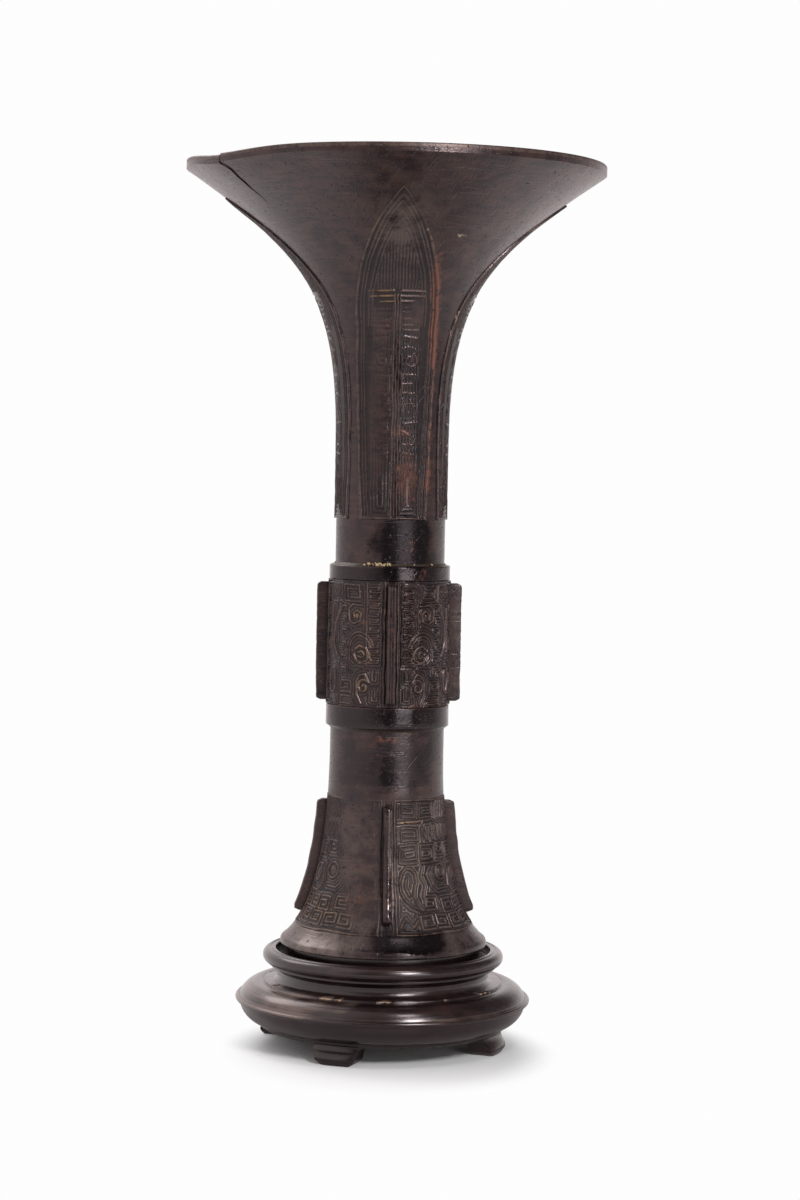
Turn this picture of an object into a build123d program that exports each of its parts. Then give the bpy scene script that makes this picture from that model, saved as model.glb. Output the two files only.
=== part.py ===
from build123d import *
import math
import os

# A bronze gu beaker, cast in sections and soldered, on its turned hardwood stand.
# Millimetres, +Z up, the table at Z = 0, the beaker's front towards -Y.

# Trumpet: neck, flare and lip
neck_radius = 19.6
neck_length = 12.0
flare_height = 127.7
flare_hold_low = 78.0  # how far up the neck's line the flare's curve keeps its first hold
flare_hold_high = 90.4  # and its second, which sets how widely the mouth opens
mouth_radius = 75.0
lip_rise = 0.9  # height of the lip's top above the inner wall's edge
wall = 2.8
neck_spigot_length = 14.0

# Blades: four pointed leaves cast on the flare
blade_foot = 4.4  # from the bottom of the flare's curve
blade_length = 113.6
blade_shoulder = 68.0  # height over its foot at which a blade is widest
blade_foot_width = 23.4
blade_width = 28.4
blade_hold_out = 16.5  # the arch's first hold, from the blade's middle line
blade_hold_drop = 20.5  # and from its tip down
blade_tip_out = 7.7  # the arch's second hold, which sets how sharp the tip is
blade_tip_drop = 7.1
blade_rise = 0.6  # how far a blade stands proud of the flare
blade_root = 1.0  # and how far it reaches into the wall

# Knop
knop_step = 2.1  # the knop's top edge stands this far proud of the neck
knop_swell = 0.5  # and its bottom edge this much further
knop_height = 58.0
knop_edge_round = 0.7
ledge_width = 3.0
ledge_thickness = 3.0
disc_thickness = 2.5

# Stem and spreading foot
stem_step = 1.7  # the stem stands this far inside the knop's bottom edge
stem_length = 8.4
stem_spigot_length = 10.0
foot_radius = 37.4
foot_ring = 5.2  # width of the ring that the foot stands on
foot_lip_height = 3.6
foot_lip_swell = 1.0
foot_curve_height = 67.1
foot_hold = 40.4  # how far down the stem's line the foot's curve keeps its hold
foot_toe_out = 9.5
foot_toe_rise = 6.5

# Flanges, four on the knop and four on the foot
flange_width = 3.0
flange_projection = 3.9
flange_seat = 0.8  # depth to which a flange is let in
flange_chamfer = 1.5
knop_flange_low = 9.1  # from the knop's bottom edge
knop_flange_length = 42.4
foot_flange_low = 11.7  # from the foot's bottom
foot_flange_length = 40.5
foot_flange_heel = 2.4

# Solder
solder_gap = 0.1
solder_bead = 0.8

# Stand, turned in two pieces
rim_gap = 1.4  # the rim stands this far outside the beaker's foot
rim_width = 5.0
rim_height = 5.2
seat_rise = 1.7  # the seat stands this far above the rim
moat_depth = 4.0
fillet_height = 1.1
fillet_inset = 3.0
waist_depth = 5.7
waist_height = 5.3
collar_spigot_radius = 25.0
collar_spigot_length = 8.0
base_ledge = 4.8  # the base's top edge stands this far outside the waist
cushion_width = 9.6
cushion_height = 5.4
cushion_bulge = 1.2
bead_height = 2.1
bead_projection = 1.6
ovolo_depth = 6.8
ovolo_height = 8.9
ovolo_bulge = 1.5
glue_gap = 0.1

# Bracket feet of the stand
bracket_height = 6.8
bracket_width = 15.0
bracket_wing = 2.0
bracket_cut = 2.2
bracket_depth = 9.0
bracket_turn = -24.0  # the front foot stands this many degrees from the beaker's front
dowel_radius = 3.0
dowel_length = 6.0

# Heights of the stack, from the table up
base_z = bracket_height
bead_z = base_z + ovolo_height
cushion_z = bead_z + bead_height
collar_z = cushion_z + cushion_height
fillet_z = collar_z + waist_height
torus_z = fillet_z + fillet_height
rim_z = torus_z + rim_height
seat_z = rim_z + seat_rise
foot_edge_z = seat_z + foot_lip_height
stem_z = foot_edge_z + foot_curve_height
knop_z = stem_z + stem_length
knop_top_z = knop_z + knop_height
flare_z = knop_top_z + neck_length
lip_z = flare_z + flare_height

# Radii that follow from the driving ones
bore_radius = neck_radius - wall
neck_spigot_radius = neck_radius - wall / 2
neck_socket_radius = neck_spigot_radius + solder_gap
knop_top_radius = neck_radius + knop_step
knop_bottom_radius = knop_top_radius + knop_swell
stem_radius = knop_bottom_radius - stem_step
stem_bore_radius = stem_radius - wall
stem_spigot_radius = stem_radius - wall / 2
stem_socket_radius = stem_spigot_radius + solder_gap
foot_edge_radius = foot_radius - foot_lip_swell
foot_bore_radius = foot_radius - foot_ring
seat_radius = foot_radius - foot_ring / 2
rim_inner_radius = foot_radius + rim_gap
rim_radius = rim_inner_radius + rim_width
waist_radius = rim_radius - waist_depth
base_top_radius = waist_radius + base_ledge
cushion_radius = base_top_radius + cushion_width
bead_radius = cushion_radius + bead_projection / 2
groove_radius = bead_radius - bead_projection
base_radius = groove_radius - ovolo_depth

# Knop levels: a socket from below, a ledge for the disc, and a socket from above
ledge_z = knop_z + stem_spigot_length + solder_gap
disc_z = ledge_z + ledge_thickness

# Directions of the flanges and of the stand's feet, in degrees from +X
SIDES = {"front": -90.0, "right": 0.0, "back": 90.0, "left": 180.0}


def radial_plane(turn):
    """The upright plane through the axis, with its X away from the axis at this turn."""
    way = math.radians(turn)
    return Plane((0, 0, 0), x_dir=(math.cos(way), math.sin(way), 0), z_dir=(math.sin(way), -math.cos(way), 0))


def facing_plane(turn):
    """The upright plane through the axis that faces away at this turn, with its Y upwards."""
    way = math.radians(turn)
    return Plane((0, 0, 0), x_dir=(-math.sin(way), math.cos(way), 0), z_dir=(math.cos(way), math.sin(way), 0))


def save(piece, name):
    """Labels a finished piece and writes it to its own file."""
    piece.part.label = name
    export_step(piece.part, f"parts/{name}.step")


os.makedirs("parts", exist_ok=True)

# Trumpet: an even wall that flares from the neck's line to the lip
mouth_slope = math.atan2(mouth_radius - neck_radius, flare_height - flare_hold_high)
lip_inner_radius = mouth_radius - wall * math.cos(mouth_slope)
lip_inner_z = lip_z + wall * math.sin(mouth_slope)
lip_top_z = lip_inner_z + lip_rise
inner_hold_z = lip_inner_z - (lip_inner_radius - bore_radius) / math.tan(mouth_slope)
flare_outside = [
    (neck_radius, flare_z),
    (neck_radius, flare_z + flare_hold_low),
    (neck_radius, flare_z + flare_hold_high),
    (mouth_radius, lip_z),
]
flare_inside = [
    (bore_radius, flare_z),
    (bore_radius, flare_z + flare_hold_low),
    (bore_radius, inner_hold_z),
    (lip_inner_radius, lip_inner_z),
]
neck_spigot_z = knop_top_z - neck_spigot_length

# Blades: a thin layer along the flare, cut to four pointed outlines
blade_foot_z = flare_z + blade_foot
blade_shoulder_z = blade_foot_z + blade_shoulder
blade_tip_z = blade_foot_z + blade_length
with BuildPart() as blade_prisms:
    for turn in SIDES.values():
        with BuildSketch(facing_plane(turn)):
            with BuildLine():
                Polyline(
                    (0, blade_tip_z),
                    (0, blade_foot_z),
                    (blade_foot_width / 2, blade_foot_z),
                    (blade_width / 2, blade_shoulder_z),
                )
                Bezier(
                    (blade_width / 2, blade_shoulder_z),
                    (blade_hold_out, blade_tip_z - blade_hold_drop),
                    (blade_tip_out, blade_tip_z - blade_tip_drop),
                    (0, blade_tip_z),
                )
            make_face()
            mirror(about=Plane.YZ)
        extrude(amount=mouth_radius)
with BuildPart() as blade_layer:
    with BuildSketch(Plane.XZ):
        with BuildLine():
            root_line = Bezier(*[(radius - blade_root, height) for radius, height in flare_outside])
            crest_line = Bezier(*[(radius + blade_rise, height) for radius, height in flare_outside])
            Line(root_line @ 0, crest_line @ 0)
            Line(root_line @ 1, crest_line @ 1)
        make_face()
    revolve(axis=Axis.Z)
blades = blade_layer.part & blade_prisms.part

with BuildPart() as trumpet:
    with BuildSketch(Plane.XZ) as trumpet_section:
        with BuildLine():
            Bezier(*flare_inside)
            Polyline(
                (bore_radius, flare_z),
                (bore_radius, neck_spigot_z),
                (neck_spigot_radius, neck_spigot_z),
                (neck_spigot_radius, knop_top_z),
                (neck_radius, knop_top_z),
                (neck_radius, flare_z),
            )
            Bezier(*flare_outside)
            Polyline(
                (mouth_radius, lip_z),
                (mouth_radius, lip_top_z),
                (lip_inner_radius, lip_top_z),
                (lip_inner_radius, lip_inner_z),
            )
        make_face()
        fillet(trumpet_section.vertices().group_by(Axis.Y)[-1], wall / 6)
    revolve(axis=Axis.Z)
    add(blades)
save(trumpet, "trumpet")

# Knop: a sleeve with a slot for each flange
knop_flange_z = knop_z + knop_flange_low
slot_radius = knop_top_radius - flange_seat
flange_radius = knop_bottom_radius + flange_projection
with BuildPart() as knop:
    with BuildSketch(Plane.XZ) as knop_section:
        with BuildLine():
            Polyline(
                (knop_bottom_radius, knop_z),
                (knop_top_radius, knop_top_z),
                (neck_socket_radius, knop_top_z),
                (neck_socket_radius, disc_z),
                (neck_socket_radius - ledge_width, disc_z),
                (neck_socket_radius - ledge_width, ledge_z),
                (stem_socket_radius, ledge_z),
                (stem_socket_radius, knop_z),
                close=True,
            )
        make_face()
        fillet(knop_section.vertices().sort_by(Axis.X)[-2:], knop_edge_round)
    revolve(axis=Axis.Z)
    for turn in SIDES.values():
        with BuildSketch(radial_plane(turn)):
            with Locations((slot_radius, knop_flange_z - solder_gap)):
                Rectangle(
                    flange_radius - slot_radius,
                    knop_flange_length + 2 * solder_gap,
                    align=(Align.MIN, Align.MIN),
                )
        extrude(amount=flange_width / 2 + solder_gap, both=True, mode=Mode.SUBTRACT)
save(knop, "knop")

# Base disc: closes the beaker's bottom, on the knop's ledge
with BuildPart() as base_disc:
    with BuildSketch(Plane.XY.offset(disc_z)):
        Circle(neck_socket_radius - solder_gap)
    extrude(amount=disc_thickness)
save(base_disc, "base_disc")

# Stem and spreading foot, hollow below
foot_outside = [
    (stem_radius, stem_z),
    (stem_radius, stem_z - foot_hold),
    (foot_edge_radius - foot_toe_out, foot_edge_z + foot_toe_rise),
    (foot_edge_radius, foot_edge_z),
]
toe_shift = foot_bore_radius - foot_edge_radius
foot_inside = [
    (stem_bore_radius, stem_z),
    (stem_bore_radius, stem_z - foot_hold),
    (foot_edge_radius - foot_toe_out + toe_shift, foot_edge_z + foot_toe_rise - foot_lip_height),
    (foot_bore_radius, seat_z),
]
foot_flange_z = seat_z + foot_flange_low


def foot_flange_outline(gap):
    """The strip along the foot's curve that a flange fills, with a gap round its seat."""
    with BuildSketch() as outline:
        with BuildLine():
            seat_line = Bezier(*[(radius - flange_seat - gap, height) for radius, height in foot_outside])
            crest_line = Bezier(*[(radius + flange_projection, height) for radius, height in foot_outside])
            Line(seat_line @ 0, crest_line @ 0)
            Line(seat_line @ 1, crest_line @ 1)
        make_face()
        with Locations((0, foot_flange_z - gap)):
            Rectangle(
                foot_radius + flange_projection,
                foot_flange_length + 2 * gap,
                align=(Align.MIN, Align.MIN),
                mode=Mode.INTERSECT,
            )
    return outline.sketch


with BuildPart() as spreading_foot:
    with BuildSketch(Plane.XZ):
        with BuildLine():
            Bezier(*foot_inside)
            Polyline(
                (stem_bore_radius, stem_z),
                (stem_bore_radius, ledge_z - solder_gap),
                (stem_spigot_radius, ledge_z - solder_gap),
                (stem_spigot_radius, knop_z),
                (stem_radius, knop_z),
                (stem_radius, stem_z),
            )
            Bezier(*foot_outside)
            ThreePointArc(
                (foot_edge_radius, foot_edge_z),
                (foot_radius - foot_lip_swell / 8, seat_z + foot_lip_height / 2),
                (foot_radius, seat_z),
            )
            Line((foot_radius, seat_z), (foot_bore_radius, seat_z))
        make_face()
    revolve(axis=Axis.Z)
    for turn in SIDES.values():
        with BuildSketch(radial_plane(turn)):
            add(foot_flange_outline(solder_gap))
        extrude(amount=flange_width / 2 + solder_gap, both=True, mode=Mode.SUBTRACT)
save(spreading_foot, "spreading_foot")

# Flanges: plain bars with cut corners, let into their slots
for side, turn in SIDES.items():
    with BuildPart() as knop_flange:
        with BuildSketch(radial_plane(turn)) as bar:
            with Locations((slot_radius, knop_flange_z)):
                Rectangle(flange_radius - slot_radius, knop_flange_length, align=(Align.MIN, Align.MIN))
            chamfer(bar.vertices().group_by(Axis.X)[-1], flange_chamfer)
        extrude(amount=flange_width / 2, both=True)
    save(knop_flange, f"knop_flange_{side}")

    strip_plane = radial_plane(turn)
    outwards = Axis((0, 0, 0), strip_plane.x_dir)
    with BuildPart() as foot_flange:
        with BuildSketch(strip_plane):
            add(foot_flange_outline(0))
        extrude(amount=flange_width / 2, both=True)
        cross_edges = foot_flange.edges().filter_by(Axis((0, 0, 0), strip_plane.z_dir)).group_by(Axis.Z)
        heel_edge = cross_edges[0].sort_by(outwards)[-1]
        top_edge = cross_edges[-1].sort_by(outwards)[-1]
        chamfer(heel_edge, foot_flange_heel)
        chamfer(top_edge, flange_chamfer)
    save(foot_flange, f"foot_flange_{side}")

# Solder beads: a small fillet of solder in each corner where the knop meets its neighbours
upper_bead_radius = neck_radius + solder_gap
lower_bead_radius = stem_radius + solder_gap
with BuildPart() as upper_solder_bead:
    with BuildSketch(Plane.XZ):
        with BuildLine():
            Polyline(
                (upper_bead_radius, knop_top_z),
                (upper_bead_radius + solder_bead, knop_top_z),
                (upper_bead_radius, knop_top_z + solder_bead),
                close=True,
            )
        make_face()
    revolve(axis=Axis.Z)
save(upper_solder_bead, "upper_solder_bead")

with BuildPart() as lower_solder_bead:
    with BuildSketch(Plane.XZ):
        with BuildLine():
            Polyline(
                (lower_bead_radius, knop_z),
                (lower_bead_radius + solder_bead, knop_z),
                (lower_bead_radius, knop_z - solder_bead),
                close=True,
            )
        make_face()
    revolve(axis=Axis.Z)
save(lower_solder_bead, "lower_solder_bead")

# Stand collar: spigot, waist, fillet, rim, moat and seat
fillet_radius = rim_radius - fillet_inset
with BuildPart() as stand_collar:
    with BuildSketch(Plane.XZ):
        with BuildLine():
            Polyline(
                (fillet_radius, fillet_z),
                (waist_radius, fillet_z - waist_height / 4),
                (waist_radius, collar_z),
                (collar_spigot_radius, collar_z),
                (collar_spigot_radius, collar_z - collar_spigot_length),
                (0, collar_z - collar_spigot_length),
                (0, seat_z),
                (seat_radius, seat_z),
                (seat_radius, rim_z - moat_depth),
                (rim_inner_radius, rim_z - moat_depth),
                (rim_inner_radius, rim_z),
                (fillet_radius, rim_z),
            )
            ThreePointArc(
                (fillet_radius, rim_z),
                (rim_radius, torus_z + rim_height / 2),
                (fillet_radius, torus_z),
            )
            Line((fillet_radius, torus_z), (fillet_radius, fillet_z))
        make_face()
    revolve(axis=Axis.Z)
save(stand_collar, "stand_collar")

# Stand base: ovolo, bead and cushion, with the collar's socket and four dowel holes
socket_radius = collar_spigot_radius + glue_gap
socket_z = collar_z - collar_spigot_length - glue_gap
dowel_place = base_radius - bracket_depth / 2
with BuildPart() as stand_base:
    with BuildSketch(Plane.XZ):
        with BuildLine():
            Polyline(
                (base_top_radius, collar_z),
                (socket_radius, collar_z),
                (socket_radius, socket_z),
                (0, socket_z),
                (0, base_z),
                (base_radius, base_z),
            )
            SagittaArc((base_radius, base_z), (groove_radius, bead_z), -ovolo_bulge)
            ThreePointArc(
                (groove_radius, bead_z),
                (bead_radius, (bead_z + cushion_z) / 2),
                (cushion_radius, cushion_z),
            )
            SagittaArc((cushion_radius, cushion_z), (base_top_radius, collar_z), -cushion_bulge)
        make_face()
    revolve(axis=Axis.Z)
    with BuildSketch(Plane.XY.offset(base_z)):
        with PolarLocations(dowel_place, len(SIDES), start_angle=bracket_turn):
            Circle(dowel_radius + glue_gap)
    extrude(amount=dowel_length + glue_gap, mode=Mode.SUBTRACT)
save(stand_base, "stand_base")

# Bracket feet: a block with concave wings and cut lower corners, and a dowel up into the base
half_width = bracket_width / 2
wing_z = bracket_height - bracket_wing
for side, turn in SIDES.items():
    foot_turn = turn + bracket_turn
    with BuildPart() as stand_foot:
        with BuildSketch(facing_plane(foot_turn)):
            with BuildLine():
                Polyline(
                    (-half_width, wing_z),
                    (-half_width, bracket_cut),
                    (bracket_cut - half_width, 0),
                    (half_width - bracket_cut, 0),
                    (half_width, bracket_cut),
                    (half_width, wing_z),
                )
                RadiusArc((half_width, wing_z), (half_width + bracket_wing, bracket_height), bracket_wing)
                Line((half_width + bracket_wing, bracket_height), (-half_width - bracket_wing, bracket_height))
                RadiusArc((-half_width - bracket_wing, bracket_height), (-half_width, wing_z), bracket_wing)
            make_face()
        extrude(amount=base_radius)
        with BuildSketch() as ring:
            Circle(base_radius)
            Circle(base_radius - bracket_depth, mode=Mode.SUBTRACT)
        extrude(amount=bracket_height, mode=Mode.INTERSECT)
        way = math.radians(foot_turn)
        with BuildSketch(Plane((dowel_place * math.cos(way), dowel_place * math.sin(way), bracket_height))):
            Circle(dowel_radius)
        extrude(amount=dowel_length)
    save(stand_foot, f"stand_foot_{side}")
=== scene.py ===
import logging
import math
from abc import ABC, abstractmethod
from collections.abc import Iterable, Sequence
from dataclasses import dataclass
from enum import Enum
from typing import ClassVar

import bpy
import numpy as np
from mathutils import Matrix, Vector


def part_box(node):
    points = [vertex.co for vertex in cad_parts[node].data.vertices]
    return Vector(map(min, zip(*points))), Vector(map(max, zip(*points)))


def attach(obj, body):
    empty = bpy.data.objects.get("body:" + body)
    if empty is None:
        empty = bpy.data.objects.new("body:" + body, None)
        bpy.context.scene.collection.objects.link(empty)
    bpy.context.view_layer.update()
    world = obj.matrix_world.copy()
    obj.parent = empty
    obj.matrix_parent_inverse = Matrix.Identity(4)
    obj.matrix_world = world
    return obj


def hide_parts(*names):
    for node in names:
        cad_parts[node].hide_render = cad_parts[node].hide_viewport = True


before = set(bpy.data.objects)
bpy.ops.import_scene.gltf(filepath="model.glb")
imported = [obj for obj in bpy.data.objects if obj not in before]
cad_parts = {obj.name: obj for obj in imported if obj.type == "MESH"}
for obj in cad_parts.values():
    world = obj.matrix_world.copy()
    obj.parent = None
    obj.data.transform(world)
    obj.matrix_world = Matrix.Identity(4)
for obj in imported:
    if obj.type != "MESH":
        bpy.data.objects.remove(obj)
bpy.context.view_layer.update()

# Looks of a bronze gu beaker on its turned hardwood stand. Sizes are millimetres on the axis of the
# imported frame, and become metres where a mesh is made. Angles are degrees from +X, the front is -Y.

log = logging.getLogger("gu_beaker")

MM = 0.001
PLAIN_CREST = 0.5
Array = np.ndarray
Piece = bpy.types.Object
Material = bpy.types.Material
Point = Sequence[float]
Pair = tuple[float, float]
Colour = tuple[float, float, float]
Links = dict[str | int, object]


class Body(Enum):
    """The bodies that pieces ride on."""

    VESSEL = "vessel"
    STAND = "stand"


class Slot(Enum):
    """The record's material slots."""

    BRONZE = "bronze"
    SOLDER = "solder"
    HARDWOOD = "hardwood"


class Side(Enum):
    """The four directions of the flanges, in degrees from +X."""

    FRONT = -90.0
    RIGHT = 0.0
    BACK = 90.0
    LEFT = 180.0

    def named(self, stem: str) -> str:
        """A name that ends in this side."""
        return f"{stem}_{self.name.lower()}"


class Hand(Enum):
    """Which way a panel runs from its starting flange."""

    ONWARD = 1
    BACKWARD = -1


def step(low: float, high: float, value: Array) -> Array:
    """Eases from 0 to 1 as a value goes from low to high."""
    share = np.clip((value - low) / (high - low), 0.0, 1.0)
    return share * share * (3.0 - 2.0 * share)


def bell(value: Array, width: float) -> Array:
    """A bell curve that is 1 at 0 and falls off over a width."""
    return np.exp(-((value / width) ** 2))


def node_levels(node: str) -> tuple[float, float, float]:
    """A CAD node's lowest level, highest level and half width along X, in millimetres."""
    low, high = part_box(node)
    return low.z / MM, high.z / MM, (high.x - low.x) / 2 / MM


@dataclass(frozen=True)
class Ripple:
    """A smooth random field made of a few sine waves with a fixed seed."""

    seed: int
    size: float
    waves: int = 16

    def at(self, points: Array) -> Array:
        """Values of the field, mostly between -1 and 1.

        Args:
            points: Places in millimetres, the last axis holding x, y and z.

        Returns:
            One value a place.
        """
        rng = np.random.default_rng(self.seed)
        total = np.zeros(points.shape[:-1])
        for _ in range(self.waves):
            heading = rng.normal(size=3)
            heading *= math.tau / (np.linalg.norm(heading) * self.size * rng.uniform(0.6, 1.7))
            total += np.sin(points @ heading + rng.uniform(0.0, math.tau))
        return total / math.sqrt(self.waves)


class Profile:
    """An outline in the plane of radius and height, drawn point by point in millimetres."""

    corner_turn = 24.0
    corner_share = 0.4
    corner_steps = 4

    def __init__(self, radius: float, height: float) -> None:
        """Starts the outline at a point."""
        self.points: list[Pair] = [(radius, height)]

    def line(self, radius: float, height: float, steps: int = 1) -> "Profile":
        """Draws a straight stretch.

        Args:
            radius: Radius of its end.
            height: Height of its end.
            steps: Number of equal parts.

        Returns:
            The same outline.
        """
        start = np.array(self.points[-1])
        for share in np.linspace(0, 1, steps + 1)[1:]:
            self.points.append(tuple(start + (np.array((radius, height)) - start) * share))
        return self

    def curve(self, near: Point, far: Point, end: Point, steps: int) -> "Profile":
        """Draws a cubic curve.

        Args:
            near: First control point.
            far: Second control point.
            end: End point.
            steps: Number of parts.

        Returns:
            The same outline.
        """
        start, near, far, end = (np.array(point) for point in (self.points[-1], near, far, end))
        for t in np.linspace(0, 1, steps + 1)[1:]:
            s = 1 - t
            place = s**3 * start + 3 * s * s * t * near + 3 * s * t * t * far + t**3 * end
            self.points.append(tuple(place))
        return self

    def arc(self, radius: float, height: float, bulge: float, steps: int = 10) -> "Profile":
        """Draws an arc of a circle that bulges to the right of its course.

        Args:
            radius: Radius of its end.
            height: Height of its end.
            bulge: Rise of the arc over its chord, negative to the left.
            steps: Number of parts.

        Returns:
            The same outline.
        """
        start = np.array(self.points[-1])
        chord = np.array((radius, height)) - start
        length = float(np.hypot(*chord))
        along = chord / length
        aside = np.array((along[1], -along[0])) * math.copysign(1.0, bulge)
        half = 2 * math.atan(2 * abs(bulge) / length)
        round_radius = length / (2 * math.sin(half))
        for angle in np.linspace(-half, half, steps + 1)[1:]:
            reach = math.sin(angle) * round_radius
            lift = (math.cos(angle) - math.cos(half)) * round_radius
            self.points.append(tuple(start + chord / 2 + along * reach + aside * lift))
        return self

    def array(self, soften: float = 0.0) -> Array:
        """The outline's points, with sharp corners rounded.

        Args:
            soften: Length that a rounded corner takes from each side.

        Returns:
            Points as rows of radius and height.
        """
        points = np.array(self.points)
        if soften <= 0:
            return points
        made = [points[0]]
        for before, here, after in zip(points[:-2], points[1:-1], points[2:]):
            back, ahead = before - here, after - here
            back_length, ahead_length = np.hypot(*back), np.hypot(*ahead)
            cosine = np.clip(-(back @ ahead) / (back_length * ahead_length), -1, 1)
            if math.degrees(math.acos(cosine)) < self.corner_turn:
                made.append(here)
                continue
            first = here + back * min(soften / back_length, self.corner_share)
            last = here + ahead * min(soften / ahead_length, self.corner_share)
            for t in np.linspace(0, 1, self.corner_steps + 1):
                made.append((1 - t) ** 2 * first + 2 * (1 - t) * t * here + t * t * last)
        made.append(points[-1])
        return np.array(made)


class Draft:
    """Points in millimetres and faces of any size that become one mesh."""

    def __init__(self) -> None:
        """Starts with nothing."""
        self.points: list[Array] = []
        self.crest: list[Array] = []
        self.faces: list[Array] = []
        self.size = 0

    def add(self, points: Array, crest: Array | float = PLAIN_CREST) -> Array:
        """Adds points.

        Args:
            points: Places in millimetres, in an array of any shape.
            crest: How high each point stands in its relief, from 0 in the ground to 1 on a crest.

        Returns:
            The points' indices, in the same shape.
        """
        shape = points.shape[:-1]
        count = int(np.prod(shape))
        self.points.append(points.reshape(-1, 3))
        self.crest.append(np.broadcast_to(crest, shape).reshape(-1))
        index = np.arange(self.size, self.size + count).reshape(shape)
        self.size += count
        return index

    def quads(self, index: Array, flip: bool = False) -> None:
        """Joins a grid of points with four-sided faces.

        Args:
            index: Grid of point indices, rows upwards and columns anticlockwise.
            flip: Whether the faces look the other way.
        """
        corners = (index[:-1, :-1], index[:-1, 1:], index[1:, 1:], index[1:, :-1])
        faces = np.stack(corners, -1).reshape(-1, 4)
        self.polygons(faces[:, ::-1] if flip else faces)

    def polygons(self, faces: Array) -> None:
        """Adds faces of one size, a row of point indices each."""
        self.faces.append(np.asarray(faces, dtype=np.int32))

    def fan(self, hub: int, ring: Array, flip: bool = False) -> None:
        """Closes a ring of points with triangles to a hub."""
        triangles = np.stack([np.full(len(ring) - 1, hub), ring[:-1], ring[1:]], -1)
        self.polygons(triangles[:, ::-1] if flip else triangles)

    def tube(self, sections: Array, crest: Array) -> None:
        """Joins closed sections and caps both ends.

        Args:
            sections: Rings of points from the bottom up, each anticlockwise.
            crest: How high each point stands in its relief.
        """
        index = self.add(sections, crest)
        self.quads(wrapped(index))
        self.polygons(index[:1, ::-1])
        self.polygons(index[-1:])

    def mesh(self, name: str, sharp: float = 40.0) -> Piece:
        """Makes the object at the origin, from the points that have faces.

        Args:
            name: Name of the piece.
            sharp: Angle in degrees over which an edge is shaded as a sharp one.

        Returns:
            The new object, linked to the scene.
        """
        mesh = bpy.data.meshes.new(name)
        used, corners = np.unique(np.concatenate([face.ravel() for face in self.faces]), return_inverse=True)
        places = (np.concatenate(self.points)[used] * MM).astype(np.float32)
        sizes = np.concatenate([np.full(len(face), face.shape[1]) for face in self.faces])
        starts = np.concatenate([[0], np.cumsum(sizes)[:-1]]).astype(np.int32)
        mesh.vertices.add(len(places))
        mesh.vertices.foreach_set("co", places.ravel())
        mesh.loops.add(len(corners))
        mesh.loops.foreach_set("vertex_index", corners.astype(np.int32))
        mesh.polygons.add(len(starts))
        mesh.polygons.foreach_set("loop_start", starts)
        mesh.update(calc_edges=True)
        mesh.validate()
        mesh.shade_smooth()
        mesh.set_sharp_from_angle(angle=math.radians(sharp))
        write_attribute(mesh, "crest", np.concatenate(self.crest)[used])
        return add_object(name, mesh)


def wrapped(index: Array) -> Array:
    """A grid of point indices with its first column again at the end."""
    return np.concatenate([index, index[:, :1]], 1)


def add_object(name: str, data: bpy.types.ID) -> Piece:
    """Makes an object at the origin and links it to the scene.

    Args:
        name: Name of the object.
        data: Its mesh, camera or light.

    Returns:
        The new object.
    """
    made = bpy.data.objects.new(name, data)
    bpy.context.scene.collection.objects.link(made)
    return made


def write_attribute(mesh: bpy.types.Mesh, name: str, values: Array) -> None:
    """Stores one number a point under a name that materials read."""
    attribute = mesh.attributes.get(name) or mesh.attributes.new(name, "FLOAT", "POINT")
    attribute.data.foreach_set("value", values.astype(np.float32))


def mesh_points(mesh: bpy.types.Mesh) -> Array:
    """Reads a mesh's points.

    Args:
        mesh: The mesh.

    Returns:
        Places in millimetres, a row each.
    """
    flat = np.empty(len(mesh.vertices) * 3, dtype=np.float32)
    mesh.vertices.foreach_get("co", flat)
    return flat.reshape(-1, 3).astype(float) / MM


def move_points(mesh: bpy.types.Mesh, points: Array) -> None:
    """Puts a mesh's points at new places, given in millimetres."""
    mesh.vertices.foreach_set("co", (points * MM).astype(np.float32).ravel())
    mesh.update()


@dataclass(frozen=True)
class Dents:
    """Shallow hollows in a cast or shrunken surface, as a share of its radius."""

    ripple: Ripple
    depth: float
    below: float = math.inf

    def press(self, points: Array) -> None:
        """Presses the hollows into all points below a height."""
        share = self.depth * (0.5 + 0.5 * self.ripple.at(points)) * (points[..., 2] < self.below)
        points[..., :2] *= (1 - share)[..., None]


def turned(name: str, outline: Array, segments: int, dents: Dents) -> Piece:
    """Turns an outline about the axis into a closed piece.

    Args:
        name: Name of the piece.
        outline: Points of radius and height, up the outside first. An outline that ends on the axis is
            capped there, any other is joined to its own start.
        segments: Number of parts round the axis.
        dents: Unevenness of its surface.

    Returns:
        The new object.
    """
    on_axis = outline[0, 0] < 1e-6 and outline[-1, 0] < 1e-6
    body = outline[1:-1] if on_axis else outline
    angles = np.linspace(0, math.tau, segments, endpoint=False)
    points = np.empty((len(body), segments, 3))
    points[..., :2] = body[:, None, :1] * np.stack([np.cos(angles), np.sin(angles)], -1)
    points[..., 2] = body[:, 1:]
    dents.press(points)
    draft = Draft()
    index = wrapped(draft.add(points))
    draft.quads(index if on_axis else np.concatenate([index, index[:1]], 0))
    if on_axis:
        low, high = draft.add(np.array([(0.0, 0.0, outline[end, 1]) for end in (0, -1)]))
        draft.fan(low, index[0], flip=True)
        draft.fan(high, index[-1])
    return draft.mesh(name)


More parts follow.
